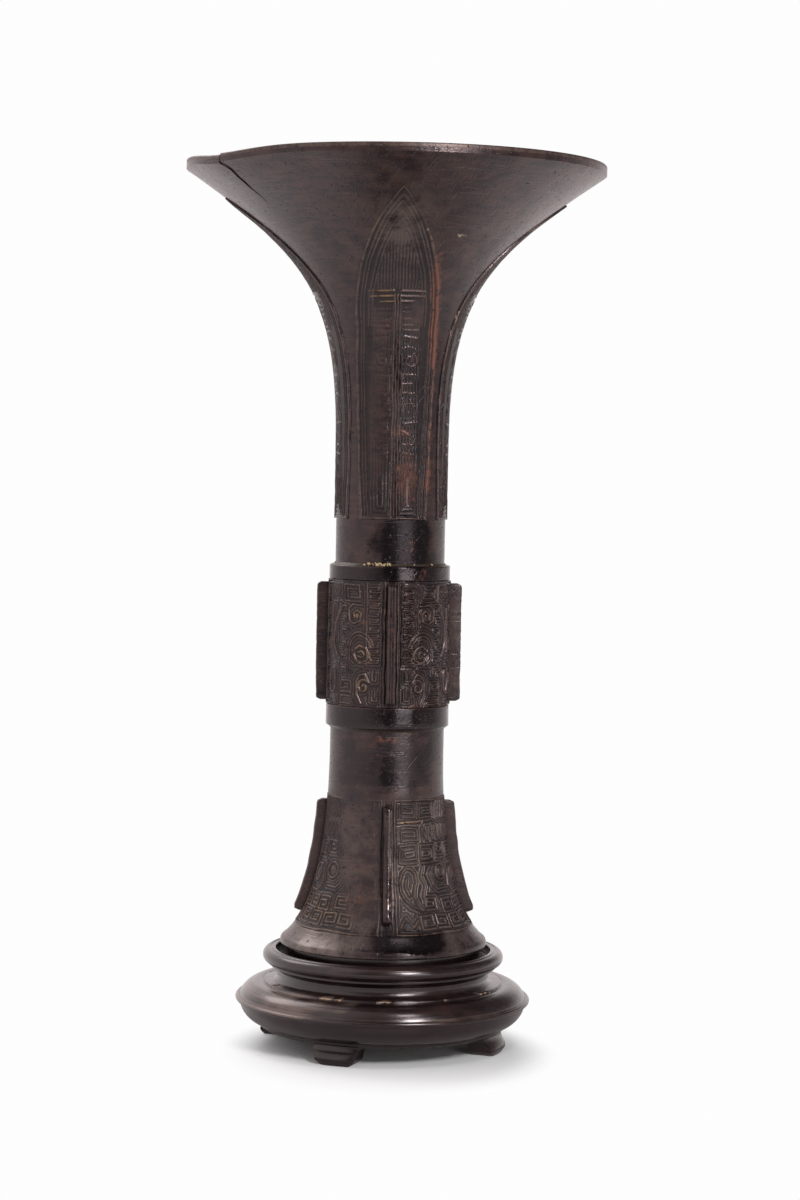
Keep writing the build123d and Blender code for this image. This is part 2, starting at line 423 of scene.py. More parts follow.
class Flank:
    """A turned surface, measured in millimetres along its outline and round it."""

    def __init__(self, outline: Array) -> None:
        """Measures the outline.

        Args:
            outline: Points of radius and height, from bottom to top.
        """
        self.radius, self.height = outline[:, 0], outline[:, 1]
        self.run = np.concatenate([[0], np.cumsum(np.hypot(*np.diff(outline, axis=0).T))])
        tangent = np.gradient(outline, self.run, axis=0)
        tangent /= np.linalg.norm(tangent, axis=1, keepdims=True)
        self.out, self.up = tangent[:, 1], -tangent[:, 0]

    def at(self, height: Array | float) -> Array:
        """The run along the outline at a height."""
        return np.interp(height, self.height, self.run)

    def height_at(self, along: Array) -> Array:
        """The surface's height at a run along the outline."""
        return np.interp(along, self.run, self.height)

    def radius_at(self, along: Array) -> Array:
        """The surface's radius at a run along the outline."""
        return np.interp(along, self.run, self.radius)

    def place(self, turn: float, across: Array, along: Array, lift: Array | float) -> Array:
        """Points on or over the surface.

        Args:
            turn: Direction of the middle line.
            across: Arc from the middle line, anticlockwise.
            along: Run along the outline.
            lift: Height over the surface.

        Returns:
            Points in millimetres.
        """
        radius = self.radius_at(along)
        angle = math.radians(turn) + across / radius
        reach = radius + np.interp(along, self.run, self.out) * lift
        height = self.height_at(along) + np.interp(along, self.run, self.up) * lift
        return np.stack([reach * np.cos(angle), reach * np.sin(angle), height + 0 * angle], -1)


class Ornament:
    """Raised lines and bosses drawn on a flat panel, with finer lines that echo them."""

    shoulder = 0.2
    echo_reach = 4.5
    wobbles = (Ripple(71, 9.0), Ripple(73, 9.0))

    def __init__(self, width: float, height: float, echo: float, pitch: float, sway: float) -> None:
        """Starts with nothing drawn.

        Args:
            width: Usual width of a line's flat top.
            height: Usual height of a line.
            echo: Height of the lines that echo it, or 0 for none.
            pitch: Distance between the echoes.
            sway: How far a line strays from its course.
        """
        self.width, self.height = width, height
        self.echo, self.pitch, self.sway = echo, pitch, sway
        self.strokes: list[tuple[Array, float, float]] = []
        self.bosses: list[tuple[float, float, float, float, float]] = []

    def path(self, points: Iterable[Point], width: float = 0.0, height: float = 0.0) -> None:
        """Draws a line through points, of the usual width and height where 0 is given."""
        course = np.array(list(points), dtype=float)
        self.strokes.append((course, width or self.width, height or self.height))

    def spiral(self, x: float, y: float, wide: float, tall: float, pitch: float = 1.35,
               flip_x: bool = False, flip_y: bool = False) -> None:
        """Draws a square spiral.

        Args:
            x: Middle across the panel.
            y: Middle up the panel.
            wide: Width over its outer turn.
            tall: Height over its outer turn.
            pitch: Distance between turns.
            flip_x: Whether it is mirrored across.
            flip_y: Whether it is mirrored upwards.
        """
        a, b = wide / 2, tall / 2
        course = [(-a, -b), (a, -b)]
        while min(a, b) > pitch * 0.3:
            course += [(a, b), (-a, b), (-a, -b + pitch), (a - pitch, -b + pitch)]
            a, b = a - pitch, b - pitch
        corners = np.array(course[:-2]) * (-1 if flip_x else 1, -1 if flip_y else 1)
        self.path(corners + (x, y))

    def oval(self, x: float, y: float, wide: float, tall: float, width: float, height: float,
             first: float = 0.0, last: float = 360.0, shrink: float = 0.0, points: int = 26) -> None:
        """Draws an oval ring, a part of one or a coil.

        Args:
            x: Middle across the panel.
            y: Middle up the panel.
            wide: Half width.
            tall: Half height.
            width: Width of the line.
            height: Height of the line.
            first: Angle of its start in degrees.
            last: Angle of its end in degrees.
            shrink: How much smaller a coil is at its end.
            points: Number of points along it.
        """
        angle = np.radians(np.linspace(first, last, points))
        size = 1 - shrink * np.linspace(0, 1, points)
        course = np.stack([x + wide * size * np.cos(angle), y + tall * size * np.sin(angle)], -1)
        self.path(course, width, height)

    def boss(self, x: float, y: float, wide: float, tall: float, height: float) -> None:
        """Adds a smooth dome of a half width, a half height and a rise."""
        self.bosses.append((x, y, wide, tall, height))

    def mirrored(self) -> None:
        """Repeats all that is drawn on the other side of the middle line."""
        self.strokes += [(path * (-1, 1), width, height) for path, width, height in self.strokes]
        self.bosses += [(-x, y, wide, tall, rise) for x, y, wide, tall, rise in self.bosses]

    def heights(self, across: Array, along: Array) -> Array:
        """Reads the drawing back.

        Args:
            across: Place across the panel at each grid point.
            along: Place up the panel at each grid point, the same along a row.

        Returns:
            The height at each grid point.
        """
        total = np.zeros(across.shape)
        away = np.full(across.shape, self.echo_reach)
        level = along[:, 0]
        flat = np.stack([across, along, np.zeros(across.shape)], -1)
        across, along = (flat[..., i] + self.sway * self.wobbles[i].at(flat) for i in (0, 1))
        for path, width, height in self.strokes:
            reach = width / 2 + self.shoulder
            far = width / 2 + self.echo_reach + self.sway
            for (x0, y0), (x1, y1) in zip(path[:-1], path[1:]):
                rows = slice(*np.searchsorted(level, (min(y0, y1) - far, max(y0, y1) + far)))
                dx, dy = across[rows] - x0, along[rows] - y0
                run = (x1 - x0, y1 - y0)
                square = run[0] ** 2 + run[1] ** 2 + 1e-9
                share = np.clip((dx * run[0] + dy * run[1]) / square, 0, 1)
                gap = np.hypot(dx - share * run[0], dy - share * run[1])
                bump = height * step(0.0, 1.0, (reach - gap) / (2 * self.shoulder))
                np.maximum(total[rows], bump, out=total[rows])
                np.minimum(away[rows], gap - width / 2, out=away[rows])
        for x, y, wide, tall, height in self.bosses:
            inside = 1 - ((across - x) / wide) ** 2 - ((along - y) / tall) ** 2
            np.maximum(total, height * np.sqrt(np.clip(inside, 0, 1)), out=total)
        wave = 0.5 - 0.5 * np.cos(math.tau * (away - self.shoulder) / self.pitch)
        lines = step(0.3, 0.85, wave) * (1 - step(0.8 * self.echo_reach, self.echo_reach, away))
        return np.maximum(total, self.echo * lines * (away > self.shoulder))


class Graph:
    """A node tree that one method fills."""

    def __init__(self, tree: bpy.types.NodeTree) -> None:
        """Empties the tree."""
        self.tree = tree
        tree.nodes.clear()

    def node(self, kind: str, links: Links | None = None, **settings: object) -> bpy.types.Node:
        """Adds a node.

        Args:
            kind: Its type.
            links: What goes into its inputs: other nodes' outputs or plain values.
            **settings: Its properties.

        Returns:
            The node.
        """
        made = self.tree.nodes.new(kind)
        for name, value in settings.items():
            setattr(made, name, value)
        for key, value in (links or {}).items():
            if isinstance(value, Sock):
                self.tree.links.new(value.socket, made.inputs[key])
            else:
                made.inputs[key].default_value = value
        return made

    def out(self, kind: str, links: Links | None = None, output: str | int = 0,
            **settings: object) -> "Sock":
        """Adds a node and gives one of its outputs."""
        return Sock(self, self.node(kind, links, **settings).outputs[output])

    def where(self) -> "Sock":
        """Coordinates of the object."""
        return self.out("ShaderNodeTexCoord", output="Object")

    def attribute(self, name: str) -> "Sock":
        """A number stored on the mesh."""
        return self.out("ShaderNodeAttribute", output="Fac", attribute_name=name)

    def vector(self, operation: str, first: "Sock", second: "Sock | Point") -> "Sock":
        """Two vectors added, subtracted or multiplied."""
        return self.out("ShaderNodeVectorMath", {0: first, 1: second}, operation=operation)

    def length(self, vector: "Sock") -> "Sock":
        """The length of a vector."""
        return self.out("ShaderNodeVectorMath", {0: vector}, output="Value", operation="LENGTH")

    def mix(self, share: "Sock | float", first: "Sock | Colour", second: "Sock | Colour") -> "Sock":
        """A colour with a share of a second colour mixed in."""
        links = {0: share, 6: self._colour(first), 7: self._colour(second)}
        return self.out("ShaderNodeMix", links, output=2, data_type="RGBA")

    def noise(self, where: "Sock", scale: float, detail: float = 3.0, rough: float = 0.55) -> "Sock":
        """A noise of so many waves a metre, with finer layers of a strength."""
        links = {"Vector": where, "Scale": scale, "Detail": detail, "Roughness": rough}
        return self.out("ShaderNodeTexNoise", links)

    def bump(self, height: "Sock", strength: float, distance: float) -> "Sock":
        """A normal that follows a height."""
        links = {"Height": height, "Strength": strength, "Distance": distance}
        return self.out("ShaderNodeBump", links)

    def principled(self, links: Links) -> None:
        """Ends a material in a principled shader."""
        self.node("ShaderNodeOutputMaterial", {"Surface": self.out("ShaderNodeBsdfPrincipled", links)})

    @staticmethod
    def _colour(value: "Sock | Colour") -> object:
        """A colour as a socket takes it."""
        return value if isinstance(value, Sock) else (*value, 1.0)


@dataclass(frozen=True)
class Sock:
    """A node's output that takes part in arithmetic."""

    graph: Graph
    socket: bpy.types.NodeSocket

    def math(self, operation: str, *values: "Sock | float", clamp: bool = False) -> "Sock":
        """Adds a maths node."""
        return self.graph.out("ShaderNodeMath", dict(enumerate(values)), operation=operation, use_clamp=clamp)

    def __add__(self, other: "Sock | float") -> "Sock":
        """Sum."""
        return self.math("ADD", self, other)

    __radd__ = __add__

    def __sub__(self, other: "Sock | float") -> "Sock":
        """Difference."""
        return self.math("SUBTRACT", self, other)

    def __rsub__(self, other: float) -> "Sock":
        """Difference from a number."""
        return self.math("SUBTRACT", other, self)

    def __mul__(self, other: "Sock | float") -> "Sock":
        """Product."""
        return self.math("MULTIPLY", self, other)

    __rmul__ = __mul__

    def __rtruediv__(self, other: float) -> "Sock":
        """A number divided by the value."""
        return self.math("DIVIDE", other, self)

    def clamped(self) -> "Sock":
        """The value held between 0 and 1."""
        return self.math("ADD", self, 0.0, clamp=True)

    def over(self, low: float, high: float) -> "Sock":
        """Eases from 0 to 1 between two values."""
        links = {"Value": self, "From Min": low, "From Max": high}
        return self.graph.out("ShaderNodeMapRange", links, interpolation_type="SMOOTHSTEP")

    def band(self, low: float, high: float, fade: float) -> "Sock":
        """One between two values, easing to 0 outside them."""
        return self.over(low - fade, low + fade) * (1.0 - self.over(high - fade, high + fade))


def new_material(name: str) -> tuple[Material, Graph]:
    """Makes an empty node material.

    Args:
        name: Name of the material.

    Returns:
        The material and its graph.
    """
    material = bpy.data.materials.new(name)
    material.use_nodes = True
    return material, Graph(material.node_tree)


@dataclass(frozen=True)
class Bronze:
    """Dark brown patinated bronze with rubbed crests, pits, earth and red copper oxide, and painted shade in
    its recesses.
    """

    name: str = "bronze_patina"
    # near-black for pits and for the relief's recesses, where it is grime together with painted shade
    soot_and_shade: Colour = (0.0050, 0.0032, 0.0038)
    deep: Colour = (0.0075, 0.0046, 0.0062)
    brown: Colour = (0.048, 0.0260, 0.0215)
    plum: Colour = (0.022, 0.0130, 0.0150)
    worn: Colour = (0.105, 0.066, 0.052)
    # light bronze for rubbed bare patches, also used as painted sheen where a side is lit
    bare_and_sheen: Colour = (0.155, 0.122, 0.106)
    gold: Colour = (0.230, 0.135, 0.064)
    cuprite: Colour = (0.150, 0.055, 0.034)
    earth: Colour = (0.270, 0.195, 0.120)
    sheen: Colour = (1.0, 0.89, 0.905)
    metallic: float = 0.35
    specular: float = 0.62
    dark_bands: tuple[Pair, ...] = ((0.1740, 0.1905), (0.0955, 0.1150))
    glossy_bands: tuple[Pair, ...] = ((0.1675, 0.1732), (0.1150, 0.1230))
    matt_band: Pair = (0.0440, 0.0925)
    streaks: Point = (110.0, 110.0, 800.0)
    level_scratches: Point = (70.0, 70.0, 1500.0)
    slanted_scratches: Point = (70.0, 70.0, 1300.0)
    slant: float = 0.9

    def build(self) -> Material:
        """Makes the material.

        Returns:
            The material.
        """
        material, graph = new_material(self.name)
        where = graph.where()
        height = graph.out("ShaderNodeSeparateXYZ", {0: where}, output="Z")
        patch = graph.noise(where, 30, 5, 0.6)
        blotch = graph.noise(where, 150, 6, 0.62)
        grit = graph.noise(where, 480, 3, 0.6)
        fine = graph.noise(where, 1150, 2, 0.6)
        pits = graph.noise(where, 760, 1, 0.5).over(0.66, 0.74)
        scratch = self._scratches(graph, where)
        crest = graph.attribute("crest")
        recess = 1.0 - crest.over(0.05, 0.45)
        raised = crest.over(0.6, 1.0)
        dark = sum((height.band(low, high, 0.001) for low, high in self.dark_bands), 0.0)
        gloss = sum((height.band(low, high, 0.0006) for low, high in self.glossy_bands), 0.0)
        streak = graph.noise(graph.vector("MULTIPLY", where, self.streaks), 1)
        # black tarnish spots, some of which are painted shade in the crevices beside the front flanges
        tarnish = (graph.attribute("soot_and_shade") + blotch * 1.6).over(1.25, 1.65)
        gilt = graph.attribute("gilt") * crest.over(0.45, 0.95) * grit.over(0.36, 0.64)
        stray = patch.over(0.52, 0.7) * blotch.over(0.5, 0.66)
        oxide = (graph.attribute("rust") + stray * 0.5 + grit * 1.4).over(1.0, 1.6)
        rust = oxide * (0.95 - recess * 0.75)
        specks = fine.over(0.72, 0.78) * blotch.over(0.4, 0.6)
        soil = ((graph.attribute("earth") * 0.8 + grit * 1.2).over(1.08, 1.28) + specks * 0.6).clamped()
        colour = graph.mix((blotch + streak).over(0.72, 1.28), self.plum, self.brown)
        for share, layer in (
            (patch.over(0.54, 0.44) * blotch.over(0.6, 0.4) * 0.3, self.deep),
            (dark * patch.over(0.56, 0.48) * 0.7 + gloss * 0.85, self.deep),
            # rubbed bare bronze, and painted sheen on the lit left of the foot band and the right edge of the
            # flare
            (graph.attribute("bare_and_sheen") * blotch.over(0.3, 0.6), self.bare_and_sheen),
            (tarnish * 0.92, self.deep),
            # painted shade: the relief's recesses darkened to near-black, together with grime
            (recess * 0.85, self.soot_and_shade),
            (raised * grit.over(0.3, 0.65) * 0.7, self.worn),
            (gilt, self.gold),
            (rust, self.cuprite),
            (soil, self.earth),
            (pits * 0.8, self.soot_and_shade),
        ):
            colour = graph.mix(share, colour, layer)
        rough = 0.16 + blotch * 0.18 + grit * 0.06 + (soil + rust * 0.4 + pits).clamped() * 0.22
        rough = rough + (raised + recess) * 0.1 + height.band(*self.matt_band, 0.001) * 0.1
        rough = rough - gloss * 0.12 - scratch * 0.04 - graph.attribute("shine") * 0.24
        relief = fine * 0.3 + grit * 0.5 + blotch * 0.35 - pits * 0.8 - scratch * 0.35 + soil * 0.5
        graph.principled({
            "Base Color": colour,
            "Metallic": (self.metallic + tarnish * 0.34 - soil * 0.4).clamped(),
            "Roughness": rough,
            "Specular IOR Level": self.specular,
            "Specular Tint": (*self.sheen, 1.0),
            "Normal": graph.bump(relief, 0.3, 0.0005),
        })
        return material

    def _scratches(self, graph: Graph, where: Sock) -> Sock:
        """Fine lines round the vessel and across it.

        Args:
            graph: Graph of the material.
            where: Coordinates of the object.

        Returns:
            1 on a line and 0 elsewhere.
        """
        turn = {"Vector": where, "Angle": self.slant}
        tilted = graph.out("ShaderNodeVectorRotate", turn, rotation_type="Y_AXIS")
        level = graph.noise(graph.vector("MULTIPLY", where, self.level_scratches), 1, 1)
        slanted = graph.noise(graph.vector("MULTIPLY", tilted, self.slanted_scratches), 1, 1)
        return (level.over(0.64, 0.7) + slanted.over(0.67, 0.72)).clamped()


@dataclass(frozen=True)
class Solder:
    """Dull golden solder that has darkened except where it was rubbed."""

    name: str = "golden_solder"
    bright: Colour = (0.40, 0.30, 0.17)
    dark: Colour = (0.050, 0.036, 0.028)
    bright_from: float = 0.55

    def build(self) -> Material:
        """Makes the material.

        Returns:
            The material.
        """
        material, graph = new_material(self.name)
        where = graph.where()
        fine = graph.noise(where, 900, 3)
        rubbed = graph.noise(where, 70, 4).over(self.bright_from, self.bright_from + 0.2)
        share = ((rubbed + graph.attribute("crest")) * (0.4 + fine)).clamped()
        graph.principled({
            "Base Color": graph.mix(share, self.dark, self.bright),
            "Metallic": 0.45,
            "Roughness": 0.3 + fine * 0.25,
            "Normal": graph.bump(fine, 0.4, 0.0003),
        })
        return material


@dataclass(frozen=True)
class Hardwood:
    """Dark polished reddish-black hardwood with fine straight grain and rubbed edges, and dust with painted
    sheen on its lit left side.
    """

    name: str = "dark_hardwood"
    black: Colour = (0.0070, 0.0040, 0.0040)
    brown: Colour = (0.0260, 0.0135, 0.0110)
    red: Colour = (0.085, 0.036, 0.023)
    pale: Colour = (0.40, 0.30, 0.21)
    # pale brown for dust and for painted sheen
    dust_and_sheen: Colour = (0.120, 0.088, 0.072)
    sheen: Colour = (1.0, 0.87, 0.89)
    grain_stretch: Point = (16.0, 420.0, 420.0)
    tool_lines: Point = (7.0, 7.0, 1300.0)

    def build(self) -> Material:
        """Makes the material.

        Returns:
            The material.
        """
        material, graph = new_material(self.name)
        where = graph.where()
        grain = graph.noise(graph.vector("MULTIPLY", where, self.grain_stretch), 1, 4, 0.6)
        lines = graph.noise(graph.vector("MULTIPLY", where, self.tool_lines), 1, 3, 0.6)
        patch = graph.noise(where, 40, 3)
        fine = graph.noise(where, 1300, 2)
        wear = graph.attribute("crest")
        colour = graph.mix(grain.over(0.35, 0.7) * patch.over(0.2, 0.75), self.black, self.brown)
        # dust in the bead and on worn edges, and painted sheen on the base's lit left side
        colour = graph.mix(wear.over(0.55, 0.7) * (patch * 0.6 + lines).over(0.7, 0.94), colour, self.dust_and_sheen)
        colour = graph.mix(wear.over(0.72, 0.8), colour, self.red)
        colour = graph.mix(wear.over(0.8, 0.95) * fine.over(0.25, 0.45), colour, self.pale)
        rough = 0.13 + patch * 0.12 + lines * 0.08 + wear.over(0.8, 1.0) * 0.3
        relief = grain * 0.8 + fine * 0.7 + patch * 0.5 + lines * 1.5
        graph.principled({
            "Base Color": colour,
            "Roughness": rough,
            "Specular Tint": (*self.sheen, 1.0),
            "Coat Weight": 0.36 - wear.over(0.7, 1.0) * 0.36,
            "Coat Roughness": 0.17,
            "Coat Tint": (*self.sheen, 1.0),
            "Normal": graph.bump(relief, 0.26, 0.0002),
        })
        return material


@dataclass(frozen=True)
class Spot:
    """A stain, or a patch of painted shade or sheen, on the vessel: its direction, height, reach round and
    up, and strength.
    """

    turn: float
    height: float
    wide: float
    tall: float
    strength: float = 1.0

    def at(self, points: Array) -> Array:
        """How strongly the stain shows.

        Args:
            points: Places in millimetres, a row each.

        Returns:
            One value a place.
        """
        angle = np.arctan2(points[:, 1], points[:, 0]) - math.radians(self.turn)
        arc = (np.mod(angle + math.pi, math.tau) - math.pi) * np.hypot(points[:, 0], points[:, 1])
        away = (arc / self.wide) ** 2 + ((points[:, 2] - self.height) / self.tall) ** 2
        return self.strength * np.exp(-away)


@dataclass(frozen=True)
class Patina:
    """Stains of the vessel, with painted shade and sheen among them, by the names that the bronze reads, each
    a set of spots.
    """

    stains: ClassVar[dict[str, tuple[Point, ...]]] = {
        "rust": (
            (-68.5, 279, 2.2, 5, 0.8), (-64.5, 272, 2.2, 5, 1.1), (-60.5, 264.5, 2.2, 5, 1.1),
            (-57, 257, 2.2, 5, 1.1), (-53.5, 248, 2.2, 6, 1.1), (-52, 236, 2.2, 6, 0.7),
            (-51, 221, 2.2, 6, 0.75), (-52, 205, 2.2, 8, 0.75), (-82, 221, 3.8, 3, 0.9),
            (-77, 205, 4.4, 10, 1.2), (-99, 212, 2, 4, 0.65), (-97, 258, 5, 9, 0.4),
            (-63, 155, 4, 6, 0.35), (-66, 126, 5, 5, 0.45), (-60, 170, 4, 3, 0.5),
            (-51, 283, 3, 5, 0.45), (-69, 180.5, 1.1, 1.1, 1.2), (-89, 145, 1.6, 18, 0.45),
            (-114, 152, 9, 12, 0.35), (-93, 112.5, 7, 2, 0.6), (-103, 104, 8, 6, 0.4),
            (-120, 80, 4, 6, 0.35), (-117, 66, 6, 8, 0.4), (-114, 54, 6, 5, 0.35), (-69, 74, 4, 4, 0.4),
            (-86, 60, 1.5, 14, 0.5),
        ),
        "earth": (
            (-78.5, 290, 0.8, 2.4, 0.8), (-78, 281, 0.7, 2.6, 0.75), (-61, 288.6, 4.4, 1.6, 0.74),
            (-31, 296, 4.4, 2.6, 0.7), (-101, 296, 1.8, 5, 0.75), (-126, 262, 1.8, 1, 0.9),
            (-34, 262, 1.3, 5, 0.9), (-36.5, 255.5, 1.2, 2, 0.85), (-40, 250, 1, 2.4, 0.85),
            (-140, 284, 1.6, 1.2, 0.6), (-97, 158.5, 2.6, 0.7, 0.9), (-113, 140, 1, 1, 0.6),
            (-78, 82.6, 4, 0.6, 0.8), (-120, 43.6, 16, 0.9, 0.55),
        ),
        "gilt": (
            (-99, 268.5, 4, 3, 1.4), (-100, 290, 3, 11, 0.7), (-74, 291, 3, 9, 0.6),
            (-118.3, 142.6, 4.2, 4.2, 0.7), (-123.5, 156.6, 3.6, 4, 0.45),
            (-115.8, 130.2, 3.8, 3.6, 0.55), (-97, 158.5, 3.6, 1.2, 1), (-93, 146, 1.2, 26, 0.6),
            (-62, 142, 4, 4, 0.25), (-140, 50, 16, 6.5, 0.75), (-72, 62, 7, 8, 0.4),
            (-78, 82.6, 5, 1.2, 1.2), (-76, 46, 22, 2, 0.4),
        ),
        # black tarnish, and painted shade: the spots at -97.5 and -97 darken the crevices left of the front
        # flanges, where their shadows fall
        "soot_and_shade": (
            (-84, 181.5, 6, 12, 0.9), (-116, 181.5, 9, 9, 0.5), (-58, 181.5, 10, 12, 0.9),
            (-88, 226, 4.5, 22, 0.65), (-60, 236, 5, 16, 0.45), (-89, 98.5, 4, 3.4, 1),
            (-80, 105, 8, 7, 0.6), (-72, 119, 10, 4, 0.6), (-79, 42, 17, 6, 1.6),
            (-97, 76, 2.4, 26, 0.6), (-90, 74, 2.4, 26, 0.5), (-97.5, 146, 1.6, 30, 0.8),
            (-90, 146, 1.8, 34, 0.65), (-46, 262, 9, 16, 0.4), (-125, 205, 6, 16, 0.35),
        ),
        # rubbed bare bronze, and painted sheen: -136 lightens the left of the foot band and -24 the right
        # edge of the flare, where light falls on them
        "bare_and_sheen": (
            (-136, 41, 17, 6, 1.3), (-90, 288, 9, 14, 0.62), (-48, 42, 12, 5, 0.55),
            (-62, 68, 12, 18, 0.7), (-126, 72, 8, 16, 0.3), (-24, 300, 22, 14, 0.5),
        ),
        "shine": (
            (-89, 58, 1.6, 14, 1.2), (-89, 88, 1.6, 3, 1), (-74, 160, 2.6, 8, 0.8),
            (-62, 145, 8, 20, 0.55), (-73, 240, 3, 9, 0.5), (-76, 199, 3, 4, 0.8),
            (-76, 38.6, 16, 0.8, 1),
        ),
    }
    drift: Ripple = Ripple(41, 26.0)

    def paint(self, piece: Piece) -> None:
        """Stores the stains, with their painted shade and sheen, on a piece of the vessel.

        Args:
            piece: The piece.
        """
        points = mesh_points(piece.data)
        drift = 0.85 + 0.2 * self.drift.at(points)
        for name, spots in self.stains.items():
            total = sum(Spot(*spot).at(points) for spot in spots)
            write_attribute(piece.data, name, np.clip(total * drift, 0.0, 1.0))


@dataclass(frozen=True)
class Finishes:
    """The materials of all pieces."""

    bronze: Material
    solder: Material
    hardwood: Material
    patina: Patina

    @classmethod
    def build(cls) -> "Finishes":
        """Makes every finish."""
        return cls(Bronze().build(), Solder().build(), Hardwood().build(), Patina())

    def settle(self, piece: Piece, body: Body, slot: Slot, *nodes: str) -> None:
        """Dresses a piece, sets it on its body and lets it stand for CAD nodes.

        Args:
            piece: The piece.
            body: Body that it rides on.
            slot: Material slot of the record that it belongs to.
            *nodes: CAD nodes that it replaces.
        """
        piece.data.materials.clear()
        piece.data.materials.append(getattr(self, slot.value))
        if slot is Slot.BRONZE:
            self.patina.paint(piece)
        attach(piece, body.value)
        if nodes:
            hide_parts(*nodes)
        log.info("%s: %d faces on %s", piece.name, len(piece.data.polygons), body.value)

    def keep(self, node: str, slot: Slot) -> None:
        """Gives a CAD node that stays in view its finish.

        Args:
            node: Name of the CAD node.
            slot: Material slot of the record that it belongs to.
        """
        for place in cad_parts[node].material_slots:
            place.material = getattr(self, slot.value)
        log.info("%s: CAD node kept", node)


class NodesTool(ABC):
    """A Geometry Nodes tree with named inputs that makes plain meshes."""

    name: ClassVar[str]
    kinds: ClassVar[dict[str, str]]

    def __init__(self) -> None:
        """Builds the tree, which ends in real geometry with a material."""
        self.tree = bpy.data.node_groups.new(self.name, "GeometryNodeTree")
        face = self.tree.interface
        face.new_socket("Geometry", in_out="OUTPUT", socket_type="NodeSocketGeometry")
        self.inputs: dict[str, str] = {}
        for key, kind in {"Geometry": "Geometry", **self.kinds, "Material": "Material"}.items():
            made = face.new_socket(key, in_out="INPUT", socket_type=f"NodeSocket{kind}")
            self.inputs[key] = made.identifier
        graph = Graph(self.tree)
        outputs = graph.node("NodeGroupInput").outputs
        given = {key: Sock(graph, outputs[key]) for key in self.inputs}
        solid = graph.out("GeometryNodeRealizeInstances", {"Geometry": self.copies(graph, given)})
        dressed = graph.out("GeometryNodeSetMaterial", {"Geometry": solid, "Material": given["Material"]})
        graph.node("NodeGroupOutput", {"Geometry": dressed})

    @abstractmethod
    def copies(self, graph: Graph, given: dict[str, Sock]) -> Sock:
        """Lays out the instances.

        Args:
            graph: Graph of the tree.
            given: The tree's inputs, by name.

        Returns:
            The instances.
        """

    def run(self, source: Piece, name: str, values: dict[str, object]) -> Piece:
        """Runs the tree on a piece and keeps the result as a plain mesh.

        Args:
            source: Piece that carries the tree, which is used up.
            name: Name of the new piece.
            values: The tree's inputs, by name.

        Returns:
            The new object.
        """
        modifier = source.modifiers.new("nodes", "NODES")
        modifier.node_group = self.tree
        for key, value in values.items():
            modifier[self.inputs[key]] = value
        depsgraph = bpy.context.evaluated_depsgraph_get()
        made = source.evaluated_get(depsgraph)
        mesh = bpy.data.meshes.new_from_object(made, preserve_all_data_layers=True, depsgraph=depsgraph)
        mesh.name = name
        old = source.data
        bpy.data.objects.remove(source)
        bpy.data.meshes.remove(old)
        return add_object(name, mesh)


class PolarArray(NodesTool):
    """Repeats a piece round the axis."""

    name = "polar_array"
    kinds = {"Count": "Int", "First Turn": "Float"}

    def copies(self, graph: Graph, given: dict[str, Sock]) -> Sock:
        """Lays out the piece at equal turns.

        Args:
            graph: Graph of the tree.
            given: The tree's inputs, by name.

        Returns:
            The instances.
        """
        stops = graph.out("GeometryNodeMeshLine", {"Count": given["Count"], "Offset": (0.0, 0.0, 0.0)})
        order = graph.out("GeometryNodeInputIndex")
        turn = order * (math.tau / given["Count"]) + given["First Turn"]
        return graph.out("GeometryNodeInstanceOnPoints", {
            "Points": stops,
            "Instance": given["Geometry"],
            "Rotation": graph.out("ShaderNodeCombineXYZ", {"Z": turn}),
        })

    def repeat(self, source: Piece, name: str, first_turn: float, material: Material) -> Piece:
        """Uses up a piece that lies towards +X for a copy on each side, from a first direction on."""
        values = {"Count": len(Side), "First Turn": math.radians(first_turn), "Material": material}
        return self.run(source, name, values)


class CrumbScatter(NodesTool):
    """Strews small lumps along an arc of a circle."""

    name = "crumb_scatter"
    kinds = dict.fromkeys(("Radius", "Height", "Start", "Sweep", "Size", "Spread"), "Float")
    kinds |= dict.fromkeys(("Count", "Seed"), "Int")

    def copies(self, graph: Graph, given: dict[str, Sock]) -> Sock:
        """Lays out the lumps.

        Args:
            graph: Graph of the tree.
            given: The tree's inputs, by name.

        Returns:
            The instances.
        """
        arc = graph.out("GeometryNodeCurveArc", {
            "Resolution": 64,
            "Radius": given["Radius"],
            "Start Angle": given["Start"],
            "Sweep Angle": given["Sweep"],
        })
        stops = graph.out("GeometryNodeCurveToPoints", {"Curve": arc, "Count": given["Count"]})
        jitter = self._random(graph, given["Seed"], (-1, -1, 0), (1, 1, 1.6))
        spread = graph.out("ShaderNodeVectorMath", {0: jitter, "Scale": given["Spread"]}, operation="SCALE")
        rise = graph.out("ShaderNodeCombineXYZ", {"Z": given["Height"]})
        shift = graph.vector("ADD", spread, rise)
        lump = graph.out("GeometryNodeMeshIcoSphere", {"Radius": given["Size"], "Subdivisions": 2})
        return graph.out("GeometryNodeInstanceOnPoints", {
            "Points": graph.out("GeometryNodeSetPosition", {"Geometry": stops, "Offset": shift}),
            "Instance": graph.out("GeometryNodeSetShadeSmooth", {"Geometry": lump}),
            "Rotation": self._random(graph, given["Seed"] + 19, (0, 0, 0), (6.28, 6.28, 6.28)),
            "Scale": self._random(graph, given["Seed"] + 7, (0.4, 0.4, 0.3), (1.3, 1.3, 0.9)),
        })

    @staticmethod
    def _random(graph: Graph, seed: Sock, low: Point, high: Point) -> Sock:
        """A random vector for each lump, between two corners."""
        links = {"Min": low, "Max": high, "Seed": seed}
        return graph.out("FunctionNodeRandomValue", links, data_type="FLOAT_VECTOR")

    def strew(self, name: str, values: dict[str, object]) -> Piece:
        """Makes the lumps as one plain mesh, from the tree's inputs by name."""
        source = add_object(name, bpy.data.meshes.new(name))
        return self.run(source, name, values)


